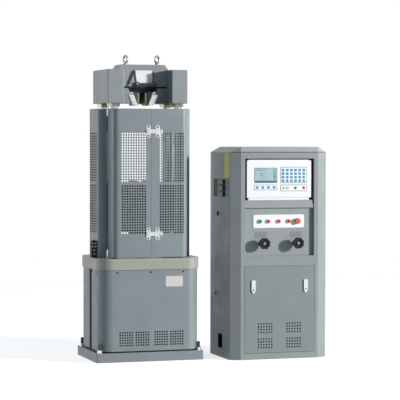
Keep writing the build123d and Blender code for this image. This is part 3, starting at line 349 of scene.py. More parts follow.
def mix_finishes(colours):
    """Make every finish once."""
    sprayed_paint("guard_paint", colours.guard_grey)
    sprayed_paint("head_paint", colours.head_grey)
    sprayed_paint("table_paint", colours.table_grey)
    sprayed_paint("console_paint", colours.console_grey, SMOOTH_ROUGH, SMOOTH_PEEL)
    sprayed_paint("lid_paint", colours.lid_grey, SMOOTH_ROUGH, SMOOTH_PEEL)
    sprayed_paint("hatch_paint", colours.hatch_grey, SMOOTH_ROUGH, SMOOTH_PEEL)
    sprayed_paint("recess_paint", colours.recess_grey, SMOOTH_ROUGH, SMOOTH_PEEL)
    sprayed_paint("motor_enamel", (0.06, 0.12, 0.19), (0.3, 0.42), 0.0003)
    # Near-black paint as painted shade on the lower crosshead, the cylinder and the pocket strip, which stand
    # where only shade falls
    sprayed_paint("shade_black_paint", (0.013, 0.016, 0.02), (0.5, 0.65), 0.0003, gloss=0.2)
    # Near-black paint as painted shade on the inner faces of the side covers
    sprayed_paint("inside_shade_paint", (0.035, 0.042, 0.047), (0.6, 0.75), 0.0003, gloss=0.2)
    sprayed_paint("strip_yellow", colours.strip_yellow, (0.4, 0.5), 0.0001, 0.0006)
    worked_metal("ground_column", (0.38, 0.41, 0.44), (0.10, 0.2), (0.3, 0.3, 6.0), 45.0)
    worked_metal("milled_steel", (0.52, 0.52, 0.51), (0.26, 0.42), (1, 1, 9), 30.0)
    worked_metal("oiled_steel", (0.13, 0.135, 0.135), (0.24, 0.4), (1, 1, 6), 30.0)
    worked_metal("rack_steel", (0.56, 0.58, 0.60), (0.16, 0.3), (6, 1, 1), 40.0)
    worked_metal("yellow_zinc", (0.25, 0.25, 0.18), (0.22, 0.36), (1, 1, 1), 35.0, (0.8, 1.1))
    worked_metal("bright_stainless", (0.70, 0.73, 0.74), (0.14, 0.26), (1, 1, 7), 50.0)
    worked_metal("nut_bronze", (0.26, 0.17, 0.07), (0.25, 0.4), (1, 1, 5), 30.0)
    worked_metal("olive_insert", (0.27, 0.25, 0.16), (0.32, 0.48), (1, 5, 1), 60.0, (0.75, 1.1))
    worked_metal("black_steel", (0.055, 0.06, 0.068), (0.34, 0.5), (1, 1, 4), 40.0, (0.8, 1.15))
    worked_metal("forged_eye", (0.30, 0.31, 0.31), (0.28, 0.42), (1, 1, 1), 40.0, (0.7, 1.15))
    worked_metal("plate_alloy", (0.50, 0.50, 0.48), (0.3, 0.42), (9, 1, 1), 60.0, (0.93, 1.04))
    worked_metal("plate_dark", (0.20, 0.205, 0.21), (0.3, 0.45), (1, 1, 1), 60.0, (0.8, 1.1))
    moulded_plastic("black_moulding", (0.012, 0.012, 0.014), (0.42, 0.55), gloss=0.22)
    # Filter mats whose near-black colour is painted shade behind the vents
    moulded_plastic("shade_filter_mat", (0.010, 0.011, 0.012), (0.8, 0.95), 0.0006, 0.0005, 0.05)
    # Near-black rubber whose colour is painted shade in the gaps at the base and in the lid seam
    moulded_plastic("gap_shade_rubber", (0.015, 0.016, 0.018), (0.6, 0.75), 0.0001, 0.0003, 0.15)
    moulded_plastic("white_lock", (0.82, 0.83, 0.84), (0.3, 0.4))
    moulded_plastic("panel_print", colours.panel_white, (0.38, 0.48), 0.00005, 0.0005, uneven=0.012)
    moulded_plastic("frame_print", (0.15, 0.18, 0.20), (0.38, 0.48), 0.00004, 0.0003)
    moulded_plastic("screen_mark", (0.14, 0.24, 0.28), (0.3, 0.4), 0.00004, 0.0002)
    moulded_plastic("key_blue", colours.key_blue)
    moulded_plastic("key_grey", (0.5, 0.52, 0.54))
    moulded_plastic("signal_green", colours.signal_green, (0.18, 0.28))
    moulded_plastic("signal_red", colours.signal_red, (0.18, 0.28))
    moulded_plastic("stop_orange", colours.stop_orange, (0.22, 0.34))
    moulded_plastic("socket_ivory", (0.60, 0.61, 0.58), (0.32, 0.45))
    screen_glass("screen", colours.screen)


# Plain pieces under each finish; the others are dressed further down
NODE_FINISH = {
    "guard_paint": ("base_plate", "base_rear_cover", "gear_motors"),
    "head_paint": ("upper_crosshead", "jaw_cover_plate"),
    "table_paint": ("worktable",),
    "console_paint": ("console_cabinet",),
    "lid_paint": ("console_lid",),
    "recess_paint": ("control_panel",),
    # Lower crosshead and cylinder are painted near black as painted shade for the dark inside of the guard
    # and base
    "shade_black_paint": ("lower_crosshead", "hydraulic_cylinder"),
    "black_steel": ("lower_platen", "upper_platen", "lower_jaw_lever", "upper_jaw_lever"),
    "ground_column": ("columns", "ram"),
    "forged_eye": ("eyebolts",),
    "milled_steel": ("throttle_valves",),
    "yellow_zinc": ("column_nuts",),
    "bright_stainless": ("latch_catches", "latch_bases", "latch_lever_upper", "latch_lever_lower",
                         "hinge_pins", "button_bezels"),
    "nut_bronze": ("screw_nuts",),
    "olive_insert": ("upper_insert_left", "upper_insert_right", "lower_insert_left", "lower_insert_right"),
    "black_moulding": ("button_box", "handwheel_left", "handwheel_right", "side_sockets"),
    "white_lock": ("lock_handle_left", "lock_handle_right"),
    "panel_print": ("display_unit", "button_plate"),
    "signal_green": ("button_start",),
    "signal_red": ("button_stop", "button_lamp", "button_reset"),
    "stop_orange": ("emergency_stop",),
    "motor_enamel": ("oil_tank", "pump_motor"),
}


# Mesh building blocks; a face is an origin with its across, up and outward directions
def front_face(y):
    return Vector((0, y, 0)), Vector((1, 0, 0)), Vector((0, 0, 1)), Vector((0, -1, 0))


def rear_face(y):
    return Vector((0, y, 0)), Vector((-1, 0, 0)), Vector((0, 0, 1)), Vector((0, 1, 0))


def left_face(x):
    return Vector((x, 0, 0)), Vector((0, -1, 0)), Vector((0, 0, 1)), Vector((-1, 0, 0))


def right_face(x):
    return Vector((x, 0, 0)), Vector((0, 1, 0)), Vector((0, 0, 1)), Vector((1, 0, 0))


def top_face(x, y):
    """Level face at height zero whose own zero is at x and y."""
    return Vector((x, y, 0)), Vector((1, 0, 0)), Vector((0, 1, 0)), Vector((0, 0, 1))


def on_face(face, u, v, n=0.0):
    origin, across, up, out = face
    return origin + across * u + up * v + out * n


def ring_faces(bm, rings, close_start=True, close_end=True):
    """Skin a list of equal rings of vertices."""
    for first, second in zip(rings, rings[1:]):
        count = len(first)
        for i in range(count):
            j = (i + 1) % count
            bm.faces.new((first[i], first[j], second[j], second[i]))
    if close_start:
        bm.faces.new(reversed(rings[0]))
    if close_end:
        bm.faces.new(rings[-1])


def add_lathe(bm, face, u, v, profile, steps=20):
    """Turn a profile of radius and height about the outward line at u and v on the face."""
    rings = []
    for radius, height in profile:
        ring = []
        for i in range(steps):
            turn = 2 * pi * i / steps
            place = on_face(face, u + radius * cos(turn), v + radius * sin(turn), height)
            ring.append(bm.verts.new(place))
        rings.append(ring)
    ring_faces(bm, rings)


def rounded(width, height, radius, steps=5):
    """Outline of a rounded rectangle about its middle."""
    points = []
    for sx, sy, begin in ((1, 1, 0), (-1, 1, 90), (-1, -1, 180), (1, -1, 270)):
        for i in range(steps + 1):
            turn = radians(begin + 90 * i / steps)
            points.append((sx * (width / 2 - radius) + radius * cos(turn),
                           sy * (height / 2 - radius) + radius * sin(turn)))
    return points


def add_plate(bm, face, u, v, width, height, radius, thick, base=0.0):
    """A plate with rounded corners and a softened front edge."""
    edge = min(thick, radius) * 0.4
    rings = []
    for inset, n in ((0, base), (0, base + thick - edge), (edge, base + thick)):
        outline = rounded(width - 2 * inset, height - 2 * inset, max(radius - inset, 1e-5))
        rings.append([bm.verts.new(on_face(face, u + a, v + b, n)) for a, b in outline])
    ring_faces(bm, rings)


def add_bar(bm, face, u0, v0, u1, v1, width, thick):
    """A flat bar with round ends between two places on the face."""
    along = Vector((u1 - u0, v1 - v0))
    turn = along.to_2d().angle_signed(Vector((1, 0)))
    u, v = (u0 + u1) / 2, (v0 + v1) / 2
    rings = []
    for inset, n in ((0, 0.0), (0, thick * 0.75), (thick * 0.25, thick)):
        ring = []
        for a, b in rounded(along.length + width - 2 * inset, width - 2 * inset, width / 2 - inset - 1e-5):
            place = on_face(face, u + a * cos(turn) - b * sin(turn), v + a * sin(turn) + b * cos(turn), n)
            ring.append(bm.verts.new(place))
        rings.append(ring)
    ring_faces(bm, rings)


def add_slab(bm, face, outline, start, end):
    """A flat slab with the given outline between two depths."""
    ring_faces(bm, [[bm.verts.new(on_face(face, u, v, n)) for u, v in outline] for n in (start, end)])


def add_tube(bm, face, inner, outer, start, end, steps=20):
    """A plain tube about the outward line of the face."""
    rings = []
    for radius, height in ((inner, start), (outer, start), (outer, end), (inner, end)):
        ring = []
        for i in range(steps):
            turn = 2 * pi * i / steps
            ring.append(bm.verts.new(on_face(face, radius * cos(turn), radius * sin(turn), height)))
        rings.append(ring)
    ring_faces(bm, [*rings, rings[0]], False, False)


# Half profile of a button-head screw with a socket: shares of its radius and of its height
SCREW_PROFILE = ((1, 0), (1, 0.35), (0.86, 0.8), (0.62, 1), (0.42, 1), (0.38, 0.35))
SCREW_HEIGHT_SHARE = 0.55


def add_screw(bm, face, u, v, radius, base=0.0):
    """A button-head screw with a socket."""
    tall = radius * SCREW_HEIGHT_SHARE
    add_lathe(bm, face, u, v, [(radius * wide, base + tall * rise) for wide, rise in SCREW_PROFILE], 14)


def new_piece(name, bm, finish, body, bend=32.0):
    """Turn the mesh into an object that rides on a body."""
    bmesh.ops.recalc_face_normals(bm, faces=bm.faces)
    for edge in bm.edges:
        edge.smooth = len(edge.link_faces) == 2 and edge.calc_face_angle(0.0) < radians(bend)
    for facet in bm.faces:
        facet.smooth = True
    mesh = bpy.data.meshes.new(name)
    bm.to_mesh(mesh)
    bm.free()
    mesh.materials.append(FINISH[finish])
    piece = bpy.data.objects.new(name, mesh)
    bpy.context.scene.collection.objects.link(piece)
    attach(piece, body)
    return piece


def plates_piece(name, face, plates, finish, body):
    """One piece of plates, each with its place, width, height, corner radius, thickness and base."""
    bm = bmesh.new()
    for plate in plates:
        add_plate(bm, face, *plate)
    new_piece(name, bm, finish, body)


def screws_piece(name, face, places, radius, finish, body, base=0.0):
    """One piece of equal screws on a face."""
    bm = bmesh.new()
    for u, v in places:
        add_screw(bm, face, u, v, radius, base)
    new_piece(name, bm, finish, body)


def turned_piece(name, face, places, profile, steps, finish, body):
    """One piece of equal turned parts on a face."""
    bm = bmesh.new()
    for u, v in places:
        add_lathe(bm, face, u, v, profile, steps)
    new_piece(name, bm, finish, body)


def second_finish(piece, finish, chosen):
    """Put another finish on the facets that the test picks."""
    piece.data.materials.append(FINISH[finish])
    for facet in piece.data.polygons:
        facet.material_index = int(chosen(facet))


def dressed_copy(node, finish, other_finish, chosen):
    """Copy of a piece with two finishes, which stands for the plain one."""
    bm = bmesh.new()
    bm.from_mesh(NODES[node].data)
    bmesh.ops.remove_doubles(bm, verts=bm.verts, dist=WELD)
    piece = new_piece("dressed_" + node, bm, finish, NODES[node]["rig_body"])
    second_finish(piece, other_finish, chosen)
    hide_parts(node)


def add_drill(bm, face, u, v, radius, depth):
    add_lathe(bm, face, u, v, [(radius, n) for n in depth], 12)


def drill_field(bm, face, across, rise, count, radius, depth):
    """Drills in even columns and rows whose outer centres are at the given limits."""
    (left, right), (low, high), (columns, rows) = across, rise, count
    for i in range(columns):
        for j in range(rows):
            u = left + (right - left) * i / (columns - 1)
            v = low + (high - low) * j / (rows - 1)
            add_drill(bm, face, u, v, radius, depth)


def drilled_sheet(node, name, drills, finish):
    """Copy of a sheet-metal piece with holes cut through it, which stands for the plain one."""
    sheet = bmesh.new()
    sheet.from_mesh(NODES[node].data)
    bmesh.ops.remove_doubles(sheet, verts=sheet.verts, dist=WELD)
    meshes = []
    for bm in (sheet, drills):
        bmesh.ops.recalc_face_normals(bm, faces=bm.faces)
        mesh = bpy.data.meshes.new(name)
        bm.to_mesh(mesh)
        bm.free()
        meshes.append(mesh)
    plain, tool = (bpy.data.objects.new(name, mesh) for mesh in meshes)
    for item in (plain, tool):
        bpy.context.scene.collection.objects.link(item)
    cut = plain.modifiers.new("holes", "BOOLEAN")
    cut.operation = "DIFFERENCE"
    cut.solver = "EXACT"
    cut.object = tool
    made = bpy.data.meshes.new_from_object(plain.evaluated_get(bpy.context.evaluated_depsgraph_get()))
    bpy.data.objects.remove(plain)
    bpy.data.objects.remove(tool)
    for mesh in meshes:
        bpy.data.meshes.remove(mesh)
    if len(made.vertices) == 0:
        raise RuntimeError(name + " came out empty")
    made.materials.clear()
    result = bmesh.new()
    result.from_mesh(made)
    bpy.data.meshes.remove(made)
    piece = new_piece(name, result, finish, NODES[node]["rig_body"])
    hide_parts(node)
    return piece


class TESTER_OT_finishes(bpy.types.Operator):
    """Mix the finishes and put them on the plain pieces"""
    bl_idname = "tester.finishes"
    bl_label = "Finishes"

    def execute(self, context):
        mix_finishes(context.scene.tester_colours)
        for finish, nodes in NODE_FINISH.items():
            for node in nodes:
                mesh = NODES[node].data
                mesh.materials.clear()
                mesh.materials.append(FINISH[finish])
        return {"FINISHED"}


# Guard holes: heights of the upper and lower field, columns and rows, left column on each door
HOLE_FIELDS = ((1.192, 1.502), (0.851, 1.158))
HOLE_COUNT = (10, 19)
DOOR_FIELD_LEFT = (("left", -0.195), ("right", 0.066))
SHEET_DRILL = (-0.006, 0.004)
# One more column of smaller holes on the front flange of the side covers
FLANGE_HOLE_X, FLANGE_HOLE_SHARE = 0.2595, 0.6
# Line inside a side cover, from which its inner faces are told
SIDE_MIDDLE_X = 0.29


class TESTER_OT_guard(bpy.types.Operator):
    """Perforated guard doors and side covers"""
    bl_idname = "tester.guard"
    bl_label = "Perforated Guard"

    def execute(self, context):
        sizes = context.scene.tester_sizes
        radius, wide = sizes.hole_dia / 2, (HOLE_COUNT[0] - 1) * sizes.hole_pitch
        front = front_face(DOOR_LEFT[0][1])
        for side, left in DOOR_FIELD_LEFT:
            drills = bmesh.new()
            for rise in HOLE_FIELDS:
                drill_field(drills, front, (left, left + wide), rise, HOLE_COUNT, radius, SHEET_DRILL)
            name = "perforated_door_" + side
            drilled_sheet("guard_door_" + side, name, drills, "guard_paint")
        middle = (SIDE_LEFT[0][1] + SIDE_LEFT[1][1]) / 2
        self.side_cover("left", left_face(SIDE_LEFT[0][0]), -middle, -1, middle, radius, wide)
        self.side_cover("right", right_face(SIDE_RIGHT[1][0]), middle, 1, middle, radius, wide)
        return {"FINISHED"}

    def side_cover(self, side, face, centre, turn, middle, radius, wide):
        """Side cover with two fields of holes and its inner faces painted near black as painted shade."""
        flange = front_face(SIDE_LEFT[0][1])
        rows = HOLE_COUNT[1]
        drills = bmesh.new()
        for low, high in HOLE_FIELDS:
            across = (centre - wide / 2, centre + wide / 2)
            drill_field(drills, face, across, (low, high), HOLE_COUNT, radius, SHEET_DRILL)
            for row in range(rows):
                z = low + (high - low) * row / (rows - 1)
                add_drill(drills, flange, turn * FLANGE_HOLE_X, z, radius * FLANGE_HOLE_SHARE, SHEET_DRILL)
        name = "perforated_side_" + side
        cover = drilled_sheet("guard_side_" + side, name, drills, "guard_paint")
        centre_line = Vector((turn * SIDE_MIDDLE_X, middle, 0))

        def faces_inward(facet):
            inward = facet.normal.dot((centre_line - facet.center) * Vector((1, 1, 0))) > 0
            return inward and abs(facet.normal.z) < 0.5

        # Inward faces get near-black paint as painted shade, since only shade falls inside the cover
        second_finish(cover, "inside_shade_paint", faces_inward)


# Vents: left and right hole column of each field, lowest and highest row, columns and rows
BASE_VENTS = ((-0.209, -0.127), (-0.099, -0.017), (0.030, 0.112), (0.139, 0.221))
BASE_VENT_RISE, BASE_VENT_COUNT = (0.110, 0.194), (6, 6)
HATCH_VENTS = ((-0.1485, -0.0545), (0.054, 0.148))
HATCH_VENT_RISES, HATCH_VENT_COUNT = ((0.180, 0.2365), (0.079, 0.1355)), (6, 4)
VENT_DRILL = (-0.008, 0.004)
# Filter mats behind the base vents, near black as painted shade of the inside of the base: height, size,
# corner radius, thickness and depth of the back
MAT_X, MAT = (-0.168, -0.058, 0.071, 0.180), (0.152, 0.098, 0.100, 0.006, 0.002, -0.0058)
# Height of the cover's foot that is painted near black as painted shade of the gap under it
COVER_FOOT_SHADE = 0.0098


class TESTER_OT_vents(bpy.types.Operator):
    """Vent holes in the base cover and the hatch"""
    bl_idname = "tester.vents"
    bl_label = "Vents"

    def execute(self, context):
        radius = context.scene.tester_sizes.vent_dia / 2
        face = front_face(COVER[0][1])
        drills = bmesh.new()
        for across in BASE_VENTS:
            drill_field(drills, face, across, BASE_VENT_RISE, BASE_VENT_COUNT, radius, VENT_DRILL)
        cover = drilled_sheet("base_front_cover", "vented_base_cover", drills, "guard_paint")
        # The foot of the cover, with its pads, is painted near black as painted shade of the gap under it
        second_finish(cover, "gap_shade_rubber", lambda facet: facet.center.z < COVER[0][2] + COVER_FOOT_SHADE)
        mats = [(x, *MAT) for x in MAT_X]
        # Near-black mats behind the vents, as painted shade of the inside of the base
        plates_piece("vent_shade_mats", face, mats, "shade_filter_mat", "frame_base")
        face = front_face(HATCH[0][1])
        drills = bmesh.new()
        for left, right in HATCH_VENTS:
            for rise in HATCH_VENT_RISES:
                across = (CON_X + left, CON_X + right)
                drill_field(drills, face, across, rise, HATCH_VENT_COUNT, radius, VENT_DRILL)
        drilled_sheet("console_hatch", "vented_hatch", drills, "hatch_paint")
        return {"FINISHED"}


# Lead screws: plain ends, end bevel, and the thread's profile as a share of the pitch with 1 at the crest
PLAIN_FOOT, PLAIN_TOP, SCREW_BEVEL = 0.12, 0.006, 0.004
THREAD_PROFILE = ((0.0, 1), (0.34, 1), (0.5, 0), (0.84, 0))
THREAD_STEPS, THREAD_BEND = 20, 20


class TESTER_OT_threads(bpy.types.Operator):
    """Lead screws with a cut thread"""
    bl_idname = "tester.threads"
    bl_label = "Lead Screw Threads"

    def execute(self, context):
        sizes = context.scene.tester_sizes
        for side in ("left", "right"):
            low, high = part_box("lead_screw_" + side)
            bm = bmesh.new()
            self.thread(bm, low, high, sizes.thread_pitch, sizes.thread_depth)
            name = "threaded_screw_" + side
            piece = new_piece(name, bm, "oiled_steel", side + "_screw", THREAD_BEND)
            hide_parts("lead_screw_" + side)
        return {"FINISHED"}

    def thread(self, bm, low, high, pitch, deep):
        """Helical skin from the plain foot to the plain top, and the two plain ends."""
        x, y, outer = (low[0] + high[0]) / 2, (low[1] + high[1]) / 2, (high[0] - low[0]) / 2
        start, top = low[2] + PLAIN_FOOT, high[2] - PLAIN_TOP
        turns = int((top - start) / pitch)
        columns = []
        for i in range(THREAD_STEPS):
            turn = 2 * pi * i / THREAD_STEPS
            column = []
            for n in range(turns):
                for part, crest in THREAD_PROFILE:
                    radius = outer if crest else outer - deep
                    z = min(max(start + (n + part + i / THREAD_STEPS - 1) * pitch, start), top)
                    column.append(bm.verts.new((x + radius * cos(turn), y + radius * sin(turn), z)))
            columns.append(column)
        rows = len(columns[0])
        for i in range(THREAD_STEPS):
            shift = 0 if i < THREAD_STEPS - 1 else len(THREAD_PROFILE)
            near, far = columns[i], columns[(i + 1) % THREAD_STEPS]
            for k in range(rows - 1 - shift):
                bm.faces.new((near[k], far[k + shift], far[k + 1 + shift], near[k + 1]))
        for begin, end in ((low[2], start + pitch), (top - pitch, high[2])):
            profile = ((outer, begin), (outer, end - SCREW_BEVEL), (outer - SCREW_BEVEL, end))
            add_lathe(bm, top_face(x, y), 0, 0, profile, THREAD_STEPS)


# Wedge grips: slope of the jaw seats and depth of the racks
SEAT_SLOPE, RACK_DEPTH = 0.404, 0.0085
RACK_SCREWS, RACK_SCREW_X, RACK_SCREW_SPAN, RACK_SCREW_RADIUS = 6, 0.0448, 0.090, 0.0046
# Toothed plate before an upper rack: heights over the crosshead's foot, reach from the rack's edge, depths
TOOTH_PLATE_FOOT, TOOTH_PLATE_TOP, RACK_EDGE = -0.010, 0.058, 0.060
TOOTH_PLATE_INNER, SPACER_OUTER, TOOTH_PLATE_OUTER = -0.018, -0.004, 0.018
SPACER_FRONT, TOOTH_PLATE_FRONT = 0.0065, 0.0105
TEETH, TOOTH_X = 6, 0.070
TOOTH = ((0.0050, 0.0105), (0.0050, 0.0140), (0.0036, 0.0152))
# Serrations of the inserts: rows, height, rounding, and what the groove and the ends leave free
SERRATIONS, SERRATION_HEIGHT, SERRATION_ROUND, SERRATION_END, GROOVE_HALF = 15, 0.0036, 0.0009, 0.010, 0.006
# Guide bars beside the cover plate, each from one end to the other, and the near-black strip over the pocket,
# a painted shadow of the gap at its top edge
GUIDE_BARS = ((-0.066, 1.915, -0.100, 1.832), (-0.062, 1.915, -0.052, 1.852), (0.066, 1.915, 0.066, 1.846),
              (-0.074, 1.824, 0.078, 1.824), (0.078, 1.824, 0.060, 1.846))
GUIDE_BAR_BACK, GUIDE_BAR_WIDTH, GUIDE_BAR_THICK = 0.008, 0.009, 0.004
POCKET_FACE, POCKET_SHADOW_Z, POCKET_SHADOW_HEIGHT = -0.075, 1.811, 0.011
POCKET_SHADOW_ROUND, POCKET_SHADOW_THICK, WING_WIDTH = 0.0015, 0.004, 0.1095


class TESTER_OT_grips(bpy.types.Operator):
    """Blackened jaws with bright racks, serrated inserts and the guide bars of the cover plate"""
    bl_idname = "tester.grips"
    bl_label = "Wedge Grips"

    def execute(self, context):
        for level in ("upper", "lower"):
            for side, turn in (("left", -1), ("right", 1)):
                node = level + "_jaw_" + side
                low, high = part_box(node)
                rack_back = low[1] + RACK_DEPTH
                dressed_copy(node, "black_steel", "rack_steel",
                             lambda facet: facet.center.y < rack_back)
                self.rack_screws(node, level, turn, low, high)
                if level == "upper":
                    self.tooth_plate(node, turn, low)
                self.serrations(node, level, side)
        self.guide_bars()
        return {"FINISHED"}

    def rack_screws(self, node, level, turn, low, high):
        places = []
        for n in range(1, RACK_SCREWS + 1):
            rise = RACK_SCREW_SPAN * n / (RACK_SCREWS + 1)
            z = low[2] + rise if level == "upper" else high[2] - rise
            places.append(((RACK_SCREW_X + SEAT_SLOPE * rise) * turn, z))
        screws_piece("rack_screws_" + node, front_face(low[1]), places, RACK_SCREW_RADIUS, "black_steel",
                     NODES[node]["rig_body"])

    def tooth_plate(self, node, turn, low):
        """Bright toothed plate on the front of a jaw, which slides over the face of the crosshead."""
        face = front_face(low[1])
        foot, top = TOOTH_PLATE_FOOT, TOOTH_PLATE_TOP

        def slanted(inner, outer):
            return [(turn * (RACK_EDGE + SEAT_SLOPE * rise + reach), HEAD[0][2] + rise)
                    for rise, reach in ((foot, inner), (foot, outer), (top, outer), (top, inner))]

        bm = bmesh.new()
        add_slab(bm, face, slanted(TOOTH_PLATE_INNER, SPACER_OUTER), 0.0, SPACER_FRONT)
        add_slab(bm, face, slanted(TOOTH_PLATE_INNER, TOOTH_PLATE_OUTER), SPACER_FRONT, TOOTH_PLATE_FRONT)
        for n in range(TEETH):
            rise = foot + (top - foot) * (n + 0.5) / TEETH
            add_lathe(bm, face, turn * (TOOTH_X + SEAT_SLOPE * rise), HEAD[0][2] + rise, TOOTH, 14)
        new_piece("rack_plate_" + node, bm, "bright_stainless", NODES[node]["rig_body"])

    def serrations(self, node, level, side):
        """Small teeth on the gripping face of an insert, on both sides of its groove."""
        low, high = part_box(level + "_insert_" + side)
        face, turn = (right_face(high[0]), 1) if side == "left" else (left_face(low[0]), -1)
        width = (high[1] - low[1]) / 2 - SERRATION_END
        plates = []
        for n in range(SERRATIONS):
            z = low[2] + (high[2] - low[2]) * (n + 0.5) / SERRATIONS
            for y in ((low[1] - GROOVE_HALF) / 2, (high[1] + GROOVE_HALF) / 2):
                plates.append((turn * y, z, width, SERRATION_HEIGHT, SERRATION_ROUND, SERRATION_ROUND))
        plates_piece(level + "_serrations_" + side, face, plates, "olive_insert", NODES[node]["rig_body"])

    def guide_bars(self):
        plate = front_face(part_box("jaw_cover_plate")[1][1] - GUIDE_BAR_BACK)
        bm = bmesh.new()
        for ends in GUIDE_BARS:
            add_bar(bm, plate, *ends, GUIDE_BAR_WIDTH, GUIDE_BAR_THICK)
        new_piece("guide_bars", bm, "black_steel", "lifting_frame")
        # The near-black strip across the recess is a painted shadow of the gap at the pocket's top edge
        recess = HEAD[1][0] - HEAD[0][0] - 2 * WING_WIDTH
        strip = (0.0, POCKET_SHADOW_Z, recess, POCKET_SHADOW_HEIGHT, POCKET_SHADOW_ROUND, POCKET_SHADOW_THICK)
        plates_piece("pocket_shadow_strip", front_face(POCKET_FACE), [strip], "shade_black_paint", "lifting_frame")


# Hinge sleeves: axis of the left and right hinge, radii, length and places from the door's ends
HINGE_X, HINGE_Y = 0.25675, -0.119
SLEEVE_INNER, SLEEVE_OUTER, SLEEVE_LENGTH = 0.0061, 0.0077, 0.044
SLEEVE_UP, SLEEVE_DOWN = 0.001, 0.045


class TESTER_OT_hinges(bpy.types.Operator):
    """Bright sleeves on the hinge knuckles of the doors"""
    bl_idname = "tester.hinges"
    bl_label = "Hinge Sleeves"

    def execute(self, context):
        for side, door, turn in (("left", DOOR_LEFT, -1), ("right", DOOR_RIGHT, 1)):
            face = top_face(turn * HINGE_X, HINGE_Y)
            bm = bmesh.new()
            for base in (door[0][2] + SLEEVE_UP, door[1][2] - SLEEVE_DOWN):
                add_tube(bm, face, SLEEVE_INNER, SLEEVE_OUTER, base, base + SLEEVE_LENGTH)
            new_piece("hinge_sleeves_" + side, bm, "bright_stainless", side + "_door")
        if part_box("hinge_pins")[1][2] < DOOR_LEFT[1][2]:
            raise RuntimeError("the hinge pins end below the doors")
        return {"FINISHED"}


# Screws of the base cover: places across its front, along its sides, and their height
COVER_SCREW_X, COVER_SCREW_Y, COVER_SCREW_Z = (-0.226, 0.0035, 0.226), (0.060, 0.160), 0.590
# Levelling screws: the nuts and washers end this far under the top of the screws
NUT_DOWN = 0.038
# Near-black strips behind the side gaps of the base, and the near-black seal under its front cover; both are
# painted shade for the dark gaps
GAP_STRIP_IN, GAP_STRIP_Y, GAP_STRIP_WIDTH, GAP_STRIP_SHORT, GAP_STRIP_THICK = 0.0055, -0.015, 0.074, 0.004, 0.002
COVER_CORNER, CORNER_STEPS, SEAL_HEIGHT = 0.0905, 8, 0.0096
SEAL_OUT, SEAL_IN = 0.0003, 0.0013


class TESTER_OT_base(bpy.types.Operator):
    """Cover screws, levelling screws with bright nuts, and near-black strips and foot seal that are painted
    shade in the gaps of the base
    """
    bl_idname = "tester.base"
    bl_label = "Base Fittings"

    def execute(self, context):
        radius = context.scene.tester_sizes.screw_dia / 2
        bm = bmesh.new()
        for x in COVER_SCREW_X:
            add_screw(bm, front_face(COVER[0][1]), x, COVER_SCREW_Z, radius)
        for y in COVER_SCREW_Y:
            add_screw(bm, left_face(COVER[0][0]), y, COVER_SCREW_Z, radius)
            add_screw(bm, right_face(COVER[1][0]), -y, COVER_SCREW_Z, radius)
        new_piece("cover_screws", bm, "black_steel", "frame_base")
        node = "levelling_screws"
        nut_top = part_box(node)[1][2] - NUT_DOWN
        dressed_copy(node, "black_steel", "bright_stainless",
                     lambda facet: facet.center.z < nut_top)
        self.gap_shade_strips()
        self.foot_seal_shade()
        return {"FINISHED"}

    def gap_shade_strips(self):
        middle, height = (COVER[0][2] + COVER[1][2]) / 2, COVER[1][2] - COVER[0][2] - GAP_STRIP_SHORT
        left, right = left_face(COVER[0][0] + GAP_STRIP_IN), right_face(COVER[1][0] - GAP_STRIP_IN)
        bm = bmesh.new()
        # Near-black strips behind the side gaps, as painted shade in the gaps
        for face, u in ((left, -GAP_STRIP_Y), (right, GAP_STRIP_Y)):
            add_plate(bm, face, u, middle, GAP_STRIP_WIDTH, height, GAP_STRIP_THICK, GAP_STRIP_THICK)
        new_piece("gap_shade_strips", bm, "gap_shade_rubber", "frame_base")

    def foot_seal_shade(self):
        # Near-black ring in the gap under the cover, as painted shade of that gap
        profile = ((SEAL_OUT, 0), (SEAL_IN, 0), (SEAL_IN, SEAL_HEIGHT), (SEAL_OUT, SEAL_HEIGHT))
        bm = bmesh.new()
        rings = []
        for x, y, degrees in self.cover_outline():
            out = Vector((cos(radians(degrees)), sin(radians(degrees)), 0))
            foot = Vector((x, y, COVER[0][2] - SEAL_HEIGHT))
            rings.append([bm.verts.new(foot - out * inset + Vector((0, 0, rise))) for inset, rise in profile])
        ring_faces(bm, rings)
        new_piece("foot_seal_shade", bm, "gap_shade_rubber", "frame_base")

    def cover_outline(self):
        """Places along the front cover from left to right, each with its outward direction in degrees."""
        path = [(COVER[0][0], COVER[1][1], 180)]
        for begin, x in ((180, COVER[0][0] + COVER_CORNER), (270, COVER[1][0] - COVER_CORNER)):
            for step in range(CORNER_STEPS + 1):
                degrees = begin + 90 * step / CORNER_STEPS
                turn = radians(degrees)
                y = COVER[0][1] + COVER_CORNER * (1 + sin(turn))
                path.append((x + COVER_CORNER * cos(turn), y, degrees))
        path.append((COVER[1][0], COVER[1][1], 360))
        return path


# Rear panel of the console: height, size, corner radius and thickness; its screws and those of the latches
REAR_PANEL = (0.72, 0.560, 1.16, 0.012, 0.0015)
REAR_SCREW_X, REAR_SCREW_Z = (-0.262, 0.262), (0.165, 0.535, 0.905, 1.275)
LATCH_SCREW_Z, LATCH_SCREW_RADIUS, LATCH_PLATE_THICK = (1.487, 1.547, 0.813, 0.873), 0.0062, 0.0025


